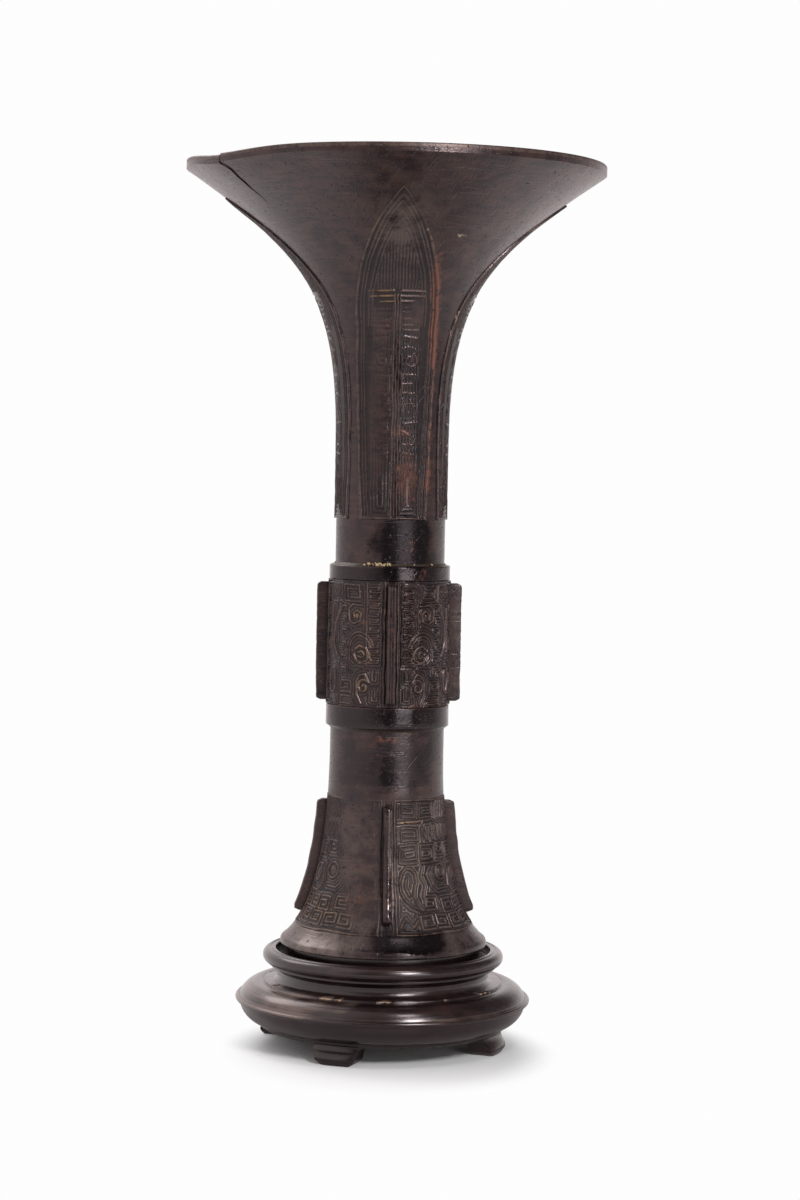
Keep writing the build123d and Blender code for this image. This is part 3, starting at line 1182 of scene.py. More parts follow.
@dataclass
class Wear:
    """Rubs relief away in patches, more on one side of the vessel than on the other."""

    drift: Ripple = Ripple(17, 17.0)
    grain: Ripple = Ripple(23, 3.1)
    rubs: tuple[Point, ...] = (
        (-117, 80, 14, 22, 0.95), (-108, 58, 10, 14, 0.6), (-132, 146, 16, 30, 0.25),
        (-104, 146, 7, 22, 0.35), (-107, 228, 5.6, 34, 0.92), (-102, 258, 5, 7, 0.5),
        (-76, 262, 5, 9, 0.85), (-90, 292, 16, 17, 0.8), (180, 240, 9, 34, 0.75), (0, 240, 9, 34, 0.75),
        (-46, 51, 9, 9, 0.5), (-102, 50, 7, 9, 0.85), (-104, 64, 8, 12, 0.8),
    )
    least: float = 0.06
    most: float = 1.1
    full_height: float = 0.5

    def relief(self, points: Array, drawn: Array) -> tuple[Array, Array]:
        """Wears a drawn relief.

        Args:
            points: Places of the relief's ground in millimetres.
            drawn: Its heights when new.

        Returns:
            The heights left, and how high each point stands in what is left.
        """
        flat = points.reshape(-1, 3)
        share = 1.0 - 0.25 * step(0.15, 1.1, self.drift.at(flat)) + 0.05 * self.grain.at(flat)
        for rub in self.rubs:
            share = share * (1.0 - Spot(*rub).at(flat))
        keep = np.clip(share, self.least, self.most).reshape(drawn.shape)
        crest = np.clip(drawn / self.full_height, 0, 1)
        return drawn * keep, PLAIN_CREST + (crest - PLAIN_CREST) * step(0.05, 0.65, keep)


@dataclass
class Plate:
    """A thin raised sheet of worn ornament on a turned surface."""

    flank: Flank
    turn: float
    wear: Wear
    ground: float = 0.0
    sink: float = 0.5
    stride: ClassVar[int] = 8

    def build(self, name: str, across: Array, along: Array, drawn: Array) -> Piece:
        """Makes the sheet with a closed rim and back.

        Args:
            name: Name of the piece.
            across: Arc from the middle line at each grid point.
            along: Run along the outline at each grid point.
            drawn: Height of the new ornament at each grid point.

        Returns:
            The new object.
        """
        lift, crest = self.wear.relief(self.flank.place(self.turn, across, along, 0.0), drawn)
        draft = Draft()
        top = draft.add(self.flank.place(self.turn, across, along, self.ground + lift), crest)
        draft.quads(top)
        rough = np.ix_(*(range(0, count, self.stride) for count in top.shape))
        under = draft.add(self.flank.place(self.turn, across[rough], along[rough], -self.sink), 0.0)
        draft.quads(under, flip=True)
        for edge, flip in (((0, ...), True), ((-1, ...), False), ((..., 0), False), ((..., -1), True)):
            self._skirt(draft, top[edge], under[edge], flip)
        return draft.mesh(name, sharp=70.0)

    def _skirt(self, draft: Draft, fine: Array, rough: Array, flip: bool) -> None:
        """Joins an edge of the sheet to the same edge of its back.

        Args:
            draft: Draft that takes the faces.
            fine: Point indices along the sheet's edge.
            rough: Point indices along the back's edge.
            flip: Whether the faces look the other way.
        """
        parts = np.arange(len(rough) - 1)
        upper = fine[parts[:, None] * self.stride + np.arange(self.stride + 1)]
        faces = np.concatenate([upper, rough[1:, None], rough[:-1, None]], 1)
        draft.polygons(faces[:, ::-1] if flip else faces)

    @classmethod
    def grid(cls, rows: int, columns: int) -> tuple[Array, Array]:
        """Even shares from 0 to 1, across and up a grid of about so many rows and columns."""
        counts = (count // cls.stride * cls.stride + 1 for count in (columns, rows))
        return tuple(np.meshgrid(*(np.linspace(0, 1, count) for count in counts)))


@dataclass
class Trumpet:
    """The neck, flare and lip, with four rising blades and a crack in the lip."""

    finishes: Finishes
    wear: Wear
    neck_radius: float = 19.6
    wall: float = 2.8
    neck_length: float = 12.0
    hold_low: float = 78.0
    hold_high: float = 90.4
    lip_height: float = 3.23
    inner_lag: float = 1.5
    curve_steps: int = 96
    segments: int = 300
    crack_turn: float = -145.8
    crack_depth: float = 19.0
    crack_gap: float = 0.7
    crack_rim: float = 2.0
    crack_bend: float = 3.0
    chip_gain: float = 1.6
    chip_place: float = 11.0
    chip_reach: float = 1.6
    sag: float = 1.5
    sag_reach: float = 26.0
    sag_spread: float = 17.0
    drop: float = 0.55
    drop_spread: float = 14.0
    loss: float = 0.35
    loss_turn: float = 26.0
    loss_spread: float = 62.0
    dents: Ripple = Ripple(5, 60.0)
    dent_share: float = 0.0022
    lip_wear_and_glint: float = 0.95
    blade_foot: float = 4.4
    blade_length: float = 113.6
    blade_shoulder: float = 68.0
    blade_foot_width: float = 23.4
    blade_width: float = 28.4
    blade_hold: Pair = (16.5, 20.5)
    blade_point: Pair = (7.7, 7.1)
    blade_ground: float = 0.16
    arch_insets: tuple[float, ...] = (2.2, 3.3, 5.2, 6.4)
    arch_points: int = 30
    rib_pitch: float = 1.1
    tip_spread: float = 2.9
    edge_inset: float = 0.6
    blade_grid: tuple[int, int] = (464, 136)

    def __post_init__(self) -> None:
        """Takes the trumpet's levels and mouth from the frame."""
        self.low = node_levels("knop")[1]
        self.high, self.mouth = node_levels("trumpet")[1:]
        self.flare_low = self.low + self.neck_length
        self.lip_low = self.high - self.lip_height
        self.outer = self.flare(self.neck_radius, 0.0, (self.mouth, self.lip_low))
        self.flank = Flank(self.outer)
        self.foot = self.flare_low + self.blade_foot
        self.tip = self.foot + self.blade_length
        self.shoulder = self.foot + self.blade_shoulder
        near = (self.blade_hold[0], self.tip - self.blade_hold[1])
        far = (self.blade_point[0], self.tip - self.blade_point[1])
        edge = Profile(self.blade_foot_width / 2, self.foot).line(self.blade_width / 2, self.shoulder, 12)
        self.blade_edge = edge.curve(near, far, (0.0, self.tip), 40).array()

    def build(self) -> None:
        """Builds the body and its blades."""
        self.finishes.settle(self.body(), Body.VESSEL, Slot.BRONZE, "trumpet")
        for side in Side:
            self.finishes.settle(self.blade(side), Body.VESSEL, Slot.BRONZE)

    def flare(self, radius: float, lag: float, end: Point) -> Array:
        """An upright neck that curves out to the mouth.

        Args:
            radius: Radius of the neck.
            lag: How much later than the outside it opens.
            end: Its end at the mouth.

        Returns:
            Points of radius and height, from the bottom up.
        """
        outline = Profile(radius, self.low).line(radius, self.flare_low, 6)
        near, far = self.flare_low + self.hold_low, self.flare_low + self.hold_high + lag
        return outline.curve((radius, near), (radius, far), end, self.curve_steps).array()

    def inner(self) -> Array:
        """The inside outline.

        Returns:
            As many points as the outside has, from the bottom up.
        """
        slope = math.atan2(self.mouth - self.neck_radius, self.lip_low - self.flare_low - self.hold_high)
        edge = (self.mouth - self.wall * math.cos(slope), self.lip_low + self.wall * math.sin(slope))
        return self.flare(self.neck_radius - self.wall, self.inner_lag, edge)

    def lip(self, inner_edge: Array) -> Array:
        """The lip's outline.

        Args:
            inner_edge: Where the lip meets the inside.

        Returns:
            Points from its outer lower edge over the top to its inner edge.
        """
        top = self.high
        band = Profile(self.mouth, self.lip_low).line(self.mouth, top - 0.5, 4)
        band.arc(self.mouth - 0.5, top, 0.14, 3)
        band.line(inner_edge[0] + 0.3, top - 0.1, 2)
        band.line(inner_edge[0], inner_edge[1] + 0.2, 2)
        return band.array()[1:]

    def body(self) -> Piece:
        """The shell, open along the crack.

        Returns:
            The new object.
        """
        inner = self.inner()
        lip = self.lip(inner[-1])
        outline = np.concatenate([self.outer, lip, inner[::-1]])
        share = np.linspace(0, 1, self.segments + 1)
        angle = math.radians(self.crack_turn) + share * math.tau
        reach = np.repeat(outline[:, :1], len(angle), 1)
        height = np.repeat(outline[:, 1:], len(angle), 1)
        angles = np.repeat(angle[None], len(outline), 0)
        open_by = step(self.mouth - self.crack_depth, self.mouth - self.crack_rim, reach)
        self._sag(angles, reach, height)
        wander = np.sin(reach * 0.9) * 0.5 + np.sin(reach * 0.37 + 1.0) * 0.8
        near = np.minimum(share, 1 - share) * self.segments
        angles += bell(near, self.crack_bend)[None] * wander * open_by / reach
        chip = 1.0 + self.chip_gain * bell(self.mouth - reach - self.chip_place, self.chip_reach)
        gap = self.crack_gap * chip * open_by / reach / 2
        angles[:, 0] += gap[:, 0]
        angles[:, -1] -= gap[:, -1]
        points = np.stack([reach * np.cos(angles), reach * np.sin(angles), height], -1)
        dented = step(self.flare_low, self.high, height) * (reach < self.mouth - 1)
        swell = 1 + self.dent_share * self.dents.at(points) * dented
        points[..., :2] *= np.minimum(swell, self.mouth / reach)[..., None]
        return self._close(points, open_by[:, 0] > 0, len(self.outer), len(lip))

    def _sag(self, angles: Array, reach: Array, height: Array) -> None:
        """Lowers the lip beside the crack and wears its top on the left.

        Args:
            angles: Angle of each point.
            reach: Radius of each point.
            height: Height of each point, which is changed.
        """
        turn = np.degrees(angles) - self.crack_turn
        beside = np.minimum(turn, 360.0 - turn)
        outward = step(self.mouth - self.sag_reach, self.mouth, reach)
        height -= self.sag * bell(beside, self.sag_spread) * outward
        height -= self.drop * bell(360.0 - turn, self.drop_spread) * outward
        loss = bell(np.mod(turn + 180.0 - self.loss_turn, 360.0) - 180.0, self.loss_spread)
        height -= self.loss * loss * step(self.lip_low + 0.8, self.high, height + self.sag)

    def _close(self, points: Array, cracked: Array, outer_rows: int, lip_rows: int) -> Piece:
        """Joins the shell's points, welding the seam below the crack and walling the crack's sides.

        Args:
            points: Grid of points, the first and last column along the seam.
            cracked: Whether each row is open at the seam.
            outer_rows: Number of rows on the outside.
            lip_rows: Number of rows on the lip.

        Returns:
            The new object.
        """
        draft = Draft()
        crest = np.full((len(points), 1), PLAIN_CREST)
        # the lip's top rows count as a rubbed crest and take the lighter worn colour: wear along with a
        # painted glint
        crest[outer_rows + 2:outer_rows + lip_rows - 2] = self.lip_wear_and_glint
        index = draft.add(points, crest)
        index[~cracked, -1] = index[~cracked, 0]
        draft.quads(np.concatenate([index, index[:1]], 0))
        inside = outer_rows + lip_rows
        first = int(np.argmax(cracked))
        for column, flip in ((0, False), (-1, True)):
            seam = index[:, column]
            outside = seam[first - 1:outer_rows]
            back = seam[inside:][::-1][first - 1:outer_rows]
            draft.quads(np.stack([outside, back], -1), flip=flip)
            rim = seam[outer_rows - 1:inside + 1]
            draft.fan(rim[0], rim[1:], flip=not flip)
        return draft.mesh("trumpet_body")

    def half_width(self, along: Array) -> Array:
        """Half width of a blade, measured along the surface.

        Args:
            along: Run along the outline.

        Returns:
            Half widths, 0 at the tip.
        """
        height = self.flank.height_at(along)
        seen = np.interp(height, self.blade_edge[:, 1], self.blade_edge[:, 0])
        radius = self.flank.radius_at(along)
        return radius * np.arcsin(np.clip(seen / radius, 0, 1))

    def arch(self, inset: float, low: float) -> Array:
        """A pointed arch line inside a blade's edge.

        Args:
            inset: How far the line lies inside the edge at the blade's shoulder.
            low: Run along the outline at which the line ends.

        Returns:
            The right half of the line, from its tip down.
        """
        tip, shoulder = self.flank.at(self.tip), self.flank.at(self.shoulder)
        widest = float(self.half_width(np.array(shoulder)))
        rise = tip - (tip - shoulder) * np.linspace(0, 1, self.arch_points) ** 1.4
        shrink = 1 - self.tip_spread * max(inset - self.edge_inset, 0.0) / (tip - shoulder)
        x = self.half_width(rise) * (1 - inset / widest)
        y = shoulder + (rise - shoulder) * shrink
        down = np.linspace(shoulder, low, 12)[1:]
        upper = np.stack([x, y], -1)
        return np.concatenate([upper, np.stack([self.half_width(down) - inset, down], -1)])

    def run_at(self, rise: float) -> float:
        """Run along the outline at a height over a blade's foot."""
        return float(self.flank.at(self.foot + rise))

    def blade_drawing(self) -> Ornament:
        """The raised lines of one blade.

        Returns:
            The drawing, across from the blade's middle and up the outline.
        """
        art = Ornament(0.5, 0.5, echo=0, pitch=1.06, sway=0.12)
        foot, bar = self.run_at(0), self.run_at(80.5)
        art.path(self.arch(self.edge_inset, foot), 0.9, 0.5)
        for order, inset in enumerate(self.arch_insets):
            art.path(self.arch(inset, foot if order < 2 else bar), 0.5, 0.38 if order < 2 else 0.3)
        inner = self.arch(self.arch_insets[-1], bar)[:self.arch_points]
        for x in np.arange(self.rib_pitch / 2, inner[-1, 0] - self.rib_pitch / 2, self.rib_pitch):
            art.path([(x, bar), (x, np.interp(x, *inner.T) - self.rib_pitch)], 0.4, 0.28)
        for x, height in ((0, 0.7), (1, 0.5)):
            art.path([(x, foot), (x, self.run_at(78.5))], 0.5, height)
        for level, end in ((80, 10.2), (78.2, 9.4), (76.4, 6)):
            art.path([(1.3, self.run_at(level)), (end, self.run_at(level))], 0.7, 0.6)
        self._scrolls(art)
        for row in range(3):
            inset = row * self.rib_pitch
            low = self.run_at(1.7) + 1.4 * inset
            left, right, top = 1.7 + inset, 8.0 - inset, self.run_at(16)
            art.path([(left, top), (left, low), (right, low), (right, top)], 0.26, 0.42)
        for x in np.linspace(1.7, 8, 7):
            art.path([(x, self.run_at(15)), (x, self.run_at(75))], 0.2, 0.34)
        art.path([(0, foot + 0.5), (float(self.half_width(np.array(foot))), foot + 0.5)], 0.8, 0.45)
        art.mirrored()
        return art

    def _scrolls(self, art: Ornament) -> None:
        """Draws the hooks and scrolls below the blade's bars.

        Args:
            art: The drawing.
        """
        hooks = (
            ((2, 74.2), (7.9, 74.2), (7.9, 66.6), (2, 66.6)),
            ((2, 72.6), (6.3, 72.6), (6.3, 68.2), (2, 68.2)),
            ((2.2, 70.4), (4.8, 70.4)),
            ((4.9, 63), (4.9, 61.4)),
            ((2, 60), (4.6, 60.8), (7.8, 59.4)),
            ((1.8, 57.8), (2.3, 54.6)),
            ((7.4, 51.2), (2.2, 50.8), (2.4, 44.8), (7.2, 44.4)),
            ((2.4, 47.8), (6, 48.2)),
            ((2, 36.6), (2.4, 42.6), (4.8, 37.2), (5.2, 42.4), (7.8, 36.8)),
            ((7.6, 34.4), (3.4, 34), (2.4, 31.6), (5, 30.2), (7.4, 28.6), (6.2, 26.4), (2.4, 26.6)),
            ((2.6, 23.6), (7, 23)),
        )
        for hook in hooks:
            art.path([(x, self.run_at(rise)) for x, rise in hook], 0.5, 0.42)
        art.path([(2.4, self.run_at(64.4)), (7.4, self.run_at(64))], 0.7, 0.5)
        art.oval(5, self.run_at(56), 2.5, 2.8, 0.6, 0.55, 60, -480, shrink=0.86, points=29)

    def blade(self, side: Side) -> Piece:
        """One blade.

        Args:
            side: Direction that it faces.

        Returns:
            The new object.
        """
        sideways, upward = Plate.grid(*self.blade_grid)
        low = self.run_at(0.0)
        high = self.flank.at(self.tip) - 0.25
        along = low + upward * (high - low)
        across = (2 * sideways - 1) * self.half_width(along)
        drawn = self.blade_drawing().heights(across, along)
        plate = Plate(self.flank, side.value, self.wear, self.blade_ground)
        return plate.build(side.named("blade"), across, along, drawn)


def end_round(gap: Array, radius: float) -> Array:
    """How far a bar's rounded end falls back at a distance from that end."""
    share = np.clip(gap / radius, 0, 1)
    return radius * (1 - np.sqrt(share * (2 - share)))


@dataclass
class CastSection(ABC):
    """A turned section of the vessel with four quarter panels of ornament and four flanges."""

    finishes: Finishes
    wear: Wear
    polar: PolarArray
    panel_low: float
    panel_high: float
    panel_margin: float
    panel_grid: tuple[int, int]
    drawn_width: float
    flutes: float
    bulge: float
    flange_wear: float
    flange_nicks: float
    flange_heel: float
    stem: ClassVar[str]
    node: ClassVar[str]
    panel_inset: ClassVar[float] = 1.1
    flange_levels: ClassVar[int] = 70
    flange_corner: ClassVar[float] = 0.55
    flange_end: ClassVar[float] = 1.5
    segments: ClassVar[int] = 240

    def build(self) -> None:
        """Builds the body, panels and flanges."""
        self.finishes.settle(self.body(), Body.VESSEL, Slot.BRONZE, self.node)
        self.relief = self.panel_relief()
        for side in (Side.FRONT, Side.BACK):
            for hand in Hand:
                self.finishes.settle(self.panel(side, hand), Body.VESSEL, Slot.BRONZE)
        nodes = [side.named(f"{self.stem}_flange") for side in Side]
        self.finishes.settle(self.flanges(), Body.VESSEL, Slot.BRONZE, *nodes)

    @abstractmethod
    def body(self) -> Piece:
        """The turned body, slightly sunk where the panels lie."""

    @abstractmethod
    def drawing(self) -> Ornament:
        """Half of a mask, across from its nose flange and up from the section's bottom."""

    @abstractmethod
    def flange_edges(self, levels: Array, inner: float, outer: float) -> tuple[Array, Array]:
        """Shapes a flange, before its ends are rounded.

        Args:
            levels: Heights, from the bottom up.
            inner: Least radius of the CAD flange.
            outer: Greatest radius of the CAD flange.

        Returns:
            Radius of its back and of its front at each level.
        """

    def panel_relief(self) -> tuple[Array, Array, Array]:
        """The grid of a quarter panel.

        Returns:
            Arc from the nose, run along the outline and drawn height at each grid point.
        """
        sideways, upward = Plate.grid(*self.panel_grid)
        first = self.flank.at(self.low + self.panel_low + self.panel_margin)
        last = self.flank.at(self.low + self.panel_high - self.panel_margin)
        along = first + upward * (last - first)
        rise = self.flank.height_at(along) - self.low
        quarter = self.flank.radius_at(along) * math.pi / 2
        across = self.panel_inset + sideways * (quarter - 2 * self.panel_inset)
        return across, along, self.drawing().heights(across / quarter * self.drawn_width, rise)

    def panel(self, side: Side, hand: Hand) -> Piece:
        """One quarter panel.

        Args:
            side: Flange that is the mask's nose.
            hand: Which way the panel runs from it.

        Returns:
            The new object.
        """
        across, along, drawn = self.relief
        if hand is Hand.BACKWARD:
            across, drawn = -across[:, ::-1], drawn[:, ::-1]
        name = f"{side.named(self.stem + '_panel')}_{hand.name.lower()}"
        return Plate(self.flank, side.value, self.wear).build(name, across, along, drawn)

    def flanges(self) -> Piece:
        """The four flanges as one piece.

        Returns:
            The new object.
        """
        low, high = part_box(Side.RIGHT.named(f"{self.stem}_flange"))
        levels = np.linspace(low.z / MM, high.z / MM, self.flange_levels)
        heel = end_round(levels - levels[0], self.flange_heel)
        ends = heel + end_round(levels[-1] - levels, self.flange_end)
        back, front = self.flange_edges(levels, low.x / MM, high.x / MM)
        bar = self._bar(levels, back, front - ends, (high.y - low.y) / 2 / MM)
        piece = self.polar.repeat(bar, f"{self.stem}_flanges", Side.RIGHT.value, self.finishes.bronze)
        self._roughen(piece, high.x / MM)
        return piece

    def _bar(self, levels: Array, back: Array, front: Array, half: float) -> Piece:
        """One flange towards +X with rounded edges, and with two flutes or a bulge down its front.

        Args:
            levels: Heights, from the bottom up.
            back: Radius of its back at each level.
            front: Radius of its front at each level.
            half: Half of its width.

        Returns:
            The new object.
        """
        corner = self.flange_corner
        quarter = np.radians(np.linspace(0, 90, 5))
        edge_x, edge_y = corner * np.cos(quarter) - corner, half - corner + corner * np.sin(quarter)
        ribs = np.linspace(-half + corner, half - corner, 12)[1:-1]
        share = ribs / (half - corner)
        flute = -self.flutes * np.sin(share * math.pi) ** 2 - self.bulge * share**2
        around_x = np.concatenate([flute, edge_x - self.bulge, edge_x[::-1] - self.bulge])
        around_y = np.concatenate([ribs, edge_y, -edge_y[::-1]])
        crest = np.concatenate([0.6 + 1.2 * (flute + self.bulge * share**2), np.full(2 * len(quarter), 0.56)])
        order = np.argsort(around_y, kind="stable")
        y = np.concatenate([[-half], around_y[order], [half]])
        sections = []
        for near, far, level in zip(back, front, levels):
            x = np.concatenate([[near], far + around_x[order], [near]])
            sections.append(np.stack([x, y, np.full(len(x), level)], -1))
        draft = Draft()
        # the back corners take a low crest, so the flange's sides darken towards the body: painted shade at
        # its root
        draft.tube(np.array(sections), np.concatenate([[0.1], crest[order], [0.1]]))
        return draft.mesh(f"{self.stem}_flange", sharp=50.0)

    def _roughen(self, piece: Piece, outer: float) -> None:
        """Wears the flanges unevenly, each in its own way.

        Args:
            piece: The flanges.
            outer: Radius beyond which no point may lie.
        """
        points = mesh_points(piece.data)
        worn = self.flange_wear * (0.5 + 0.5 * Ripple(31, 6.5).at(points))
        worn += self.flange_nicks * Ripple(37, 1.6).at(points)
        reach = np.maximum(np.hypot(points[:, 0], points[:, 1]), 1.0)
        shrink = 1 - np.clip(worn, 0, self.flange_wear * 1.6) / reach
        points[:, :2] *= np.minimum(shrink, outer / reach)[:, None]
        move_points(piece.data, points)


@dataclass
class Knop(CastSection):
    """The knop with its four mask panels and four flanges."""

    stem: ClassVar[str] = "knop"
    node: ClassVar[str] = "knop"
    panel_low: float = 7.7
    panel_high: float = 53.0
    panel_margin: float = 0.35
    panel_grid: tuple[int, int] = (264, 192)
    drawn_width: float = 33.6
    flutes: float = 0.34
    bulge: float = 0.0
    flange_wear: float = 0.22
    flange_nicks: float = 0.06
    flange_heel: float = 1.5
    top_radius: float = 21.7
    bottom_radius: float = 22.2
    edge_round: float = 0.7
    bore: float = 16.6
    recess: float = 0.3

    def __post_init__(self) -> None:
        """Takes the knop's levels from the frame."""
        self.low, self.high, _ = node_levels("knop")
        rise = np.linspace(0, self.high - self.low, 30)
        self.flank = Flank(np.stack([self.wall(rise) - self.recess, self.low + rise], -1))

    def wall(self, rise: Array | float) -> Array | float:
        """The knop's radius at a height over its bottom."""
        return self.bottom_radius + (self.top_radius - self.bottom_radius) * rise / (self.high - self.low)

    def flange_edges(self, levels: Array, inner: float, outer: float) -> tuple[Array, Array]:
        """An upright back and front."""
        return np.full(len(levels), inner), np.full(len(levels), outer)

    def body(self) -> Piece:
        """The sleeve, slightly sunk where the panels lie.

        Returns:
            The new object.
        """
        low, high, sunk = self.low, self.high, self.recess + 0.1
        floor, ceiling = self.panel_low, self.panel_high
        outline = Profile(self.bore, low).line(self.bottom_radius - self.edge_round, low, 2)
        outline.arc(self.bottom_radius, low + self.edge_round, 0.2, 4)
        outline.line(self.wall(floor), low + floor, 4).line(self.wall(floor) - sunk, low + floor + 0.3)
        outline.line(self.wall(ceiling) - sunk, low + ceiling - 0.3, 24)
        outline.line(self.wall(ceiling), low + ceiling).line(self.top_radius, high - self.edge_round, 4)
        outline.arc(self.top_radius - self.edge_round, high, 0.2, 4).line(self.bore, high, 3)
        dents = Dents(Ripple(9, 22.0), 0.0035, high - 1.2)
        return turned("knop_body", outline.array(0.15), self.segments, dents)

    def drawing(self) -> Ornament:
        """Half of a mask, from its nose flange to the side flange.

        Returns:
            The drawing, across from the nose's middle and up from the knop's bottom.
        """
        art = Ornament(0.48, 0.6, echo=0.34, pitch=1.06, sway=0.16)
        low, high = self.panel_low + 0.6, self.panel_high - 0.5
        art.path([(2.3, low), (2.3, high)], 0.7, 0.5)
        art.path([(2.3, high), (31.6, high)], 0.5, 0.4)
        art.path([(31.8, low), (31.8, high)], 0.6)
        mark = np.array([(1.9, 0.85), (-1.5, 0.85), (-1.5, 0), (1.5, 0), (1.5, -0.85), (-1.9, -0.85)])
        for row in range(10):
            art.path(mark * (1 if row % 2 else -1, 1) + (6.2, 24.4 + row * 2.8), 0.42, 0.62)
        for edge in (3.6, 8.8):
            art.path([(edge, 22.6), (edge, high)], 0.4, 0.5)
        art.path([(3.6, 22.6), (8.8, 22.6)], 0.4, 0.5)
        art.path([(5, 20.6), (5, 17.4), (6.4, 17.4), (6.4, 20.6)])
        art.path([(4.6, 14), (4.6, 10.4), (6.6, 10.4), (6.6, 14)])
        self._face(art)
        art.spiral(15, 48.4, 6.4, 5.6)
        art.path([(20.6, 48.8), (22.4, 50.6), (24.2, 48.8), (22.4, 46.8), (20.6, 48.8)])
        for level, turn in ((42.4, 1), (38.6, -1), (33.8, 1), (29.6, -1), (24.8, 1), (20.6, -1)):
            art.path([(18.4 - turn, level + 1.2), (18.4 + turn, level + 1.2), (18.4 + turn, level - 0.6)])
        art.spiral(16.9, 15, 4.6, 4, flip_x=True)
        art.spiral(16.9, 10.2, 4.6, 2.8, flip_y=True)
        rise = np.linspace(0, 1, 24)
        for shift, width, height in ((0, 0.7, 0.85), (3.1, 0.6, 0.7)):
            sway = 22.0 + shift + (1.9 - 0.5 * shift) * np.sin(rise * math.pi * 1.6 - 0.3)
            art.path(np.stack([sway, 25.6 + 0.5 * shift + rise * (18.6 - shift)], -1), width, height)
        art.oval(24.2, 16.9, 1.7, 4.3, 0.6, 0.75)
        for row in range(7):
            art.spiral(29.2, 11.6 + row * 6.1, 2.9, 4, 1.3, flip_x=bool(row % 2), flip_y=row % 4 > 1)
        return art

    @staticmethod
    def _face(art: Ornament) -> None:
        """Draws the mask's horn, brow, eye and jaw.

        Args:
            art: The drawing.
        """
        art.oval(9.8, 15.2, 2.6, 2.9, 0.8, 0.8, 150, -318, shrink=0.86, points=25)
        art.path([(7.8, 17.2), (9.2, 19.8), (11.2, 19.4), (12.4, 16.8), (12.2, 12.4), (10.6, 9.4)], 0.7, 0.7)
        brow = [(13, 28.6), (11.2, 29.8), (9, 29.1), (8, 26.9)]
        art.path(brow + [(8.6, 24.9), (10.6, 23.9), (12.7, 24.8), (13.7, 26.8)], 0.75, 0.85)
        art.path([(12, 27.5), (10.6, 28.1), (9.7, 26.8), (10.6, 25.6), (11.9, 26.2)], 0.5, 0.75)
        art.path([(8.2, 26.4), (7.4, 24.6), (8.8, 23.4), (11.6, 23.6), (13, 25)], 0.6, 0.65)
        for radius in (4.2, 5.3):
            art.oval(11.4, 28.6, radius, radius * 1.1, 0.55, 0.6, 12, 170)
        art.path([(15.5, 29.4), (15.5, 25), (13.6, 23.2)], 0.5, 0.5)
        eye = [(10.2, 43.8), (14.6, 44.6), (16.2, 42.6), (15.9, 38.8), (13.7, 37.4)]
        art.path(eye + [(11.3, 38.2), (11, 41), (12.6, 42.3), (14.1, 41.2), (13.6, 39.6)], 0.65, 0.85)
        art.boss(12.6, 40.4, 0.8, 0.9, 0.75)


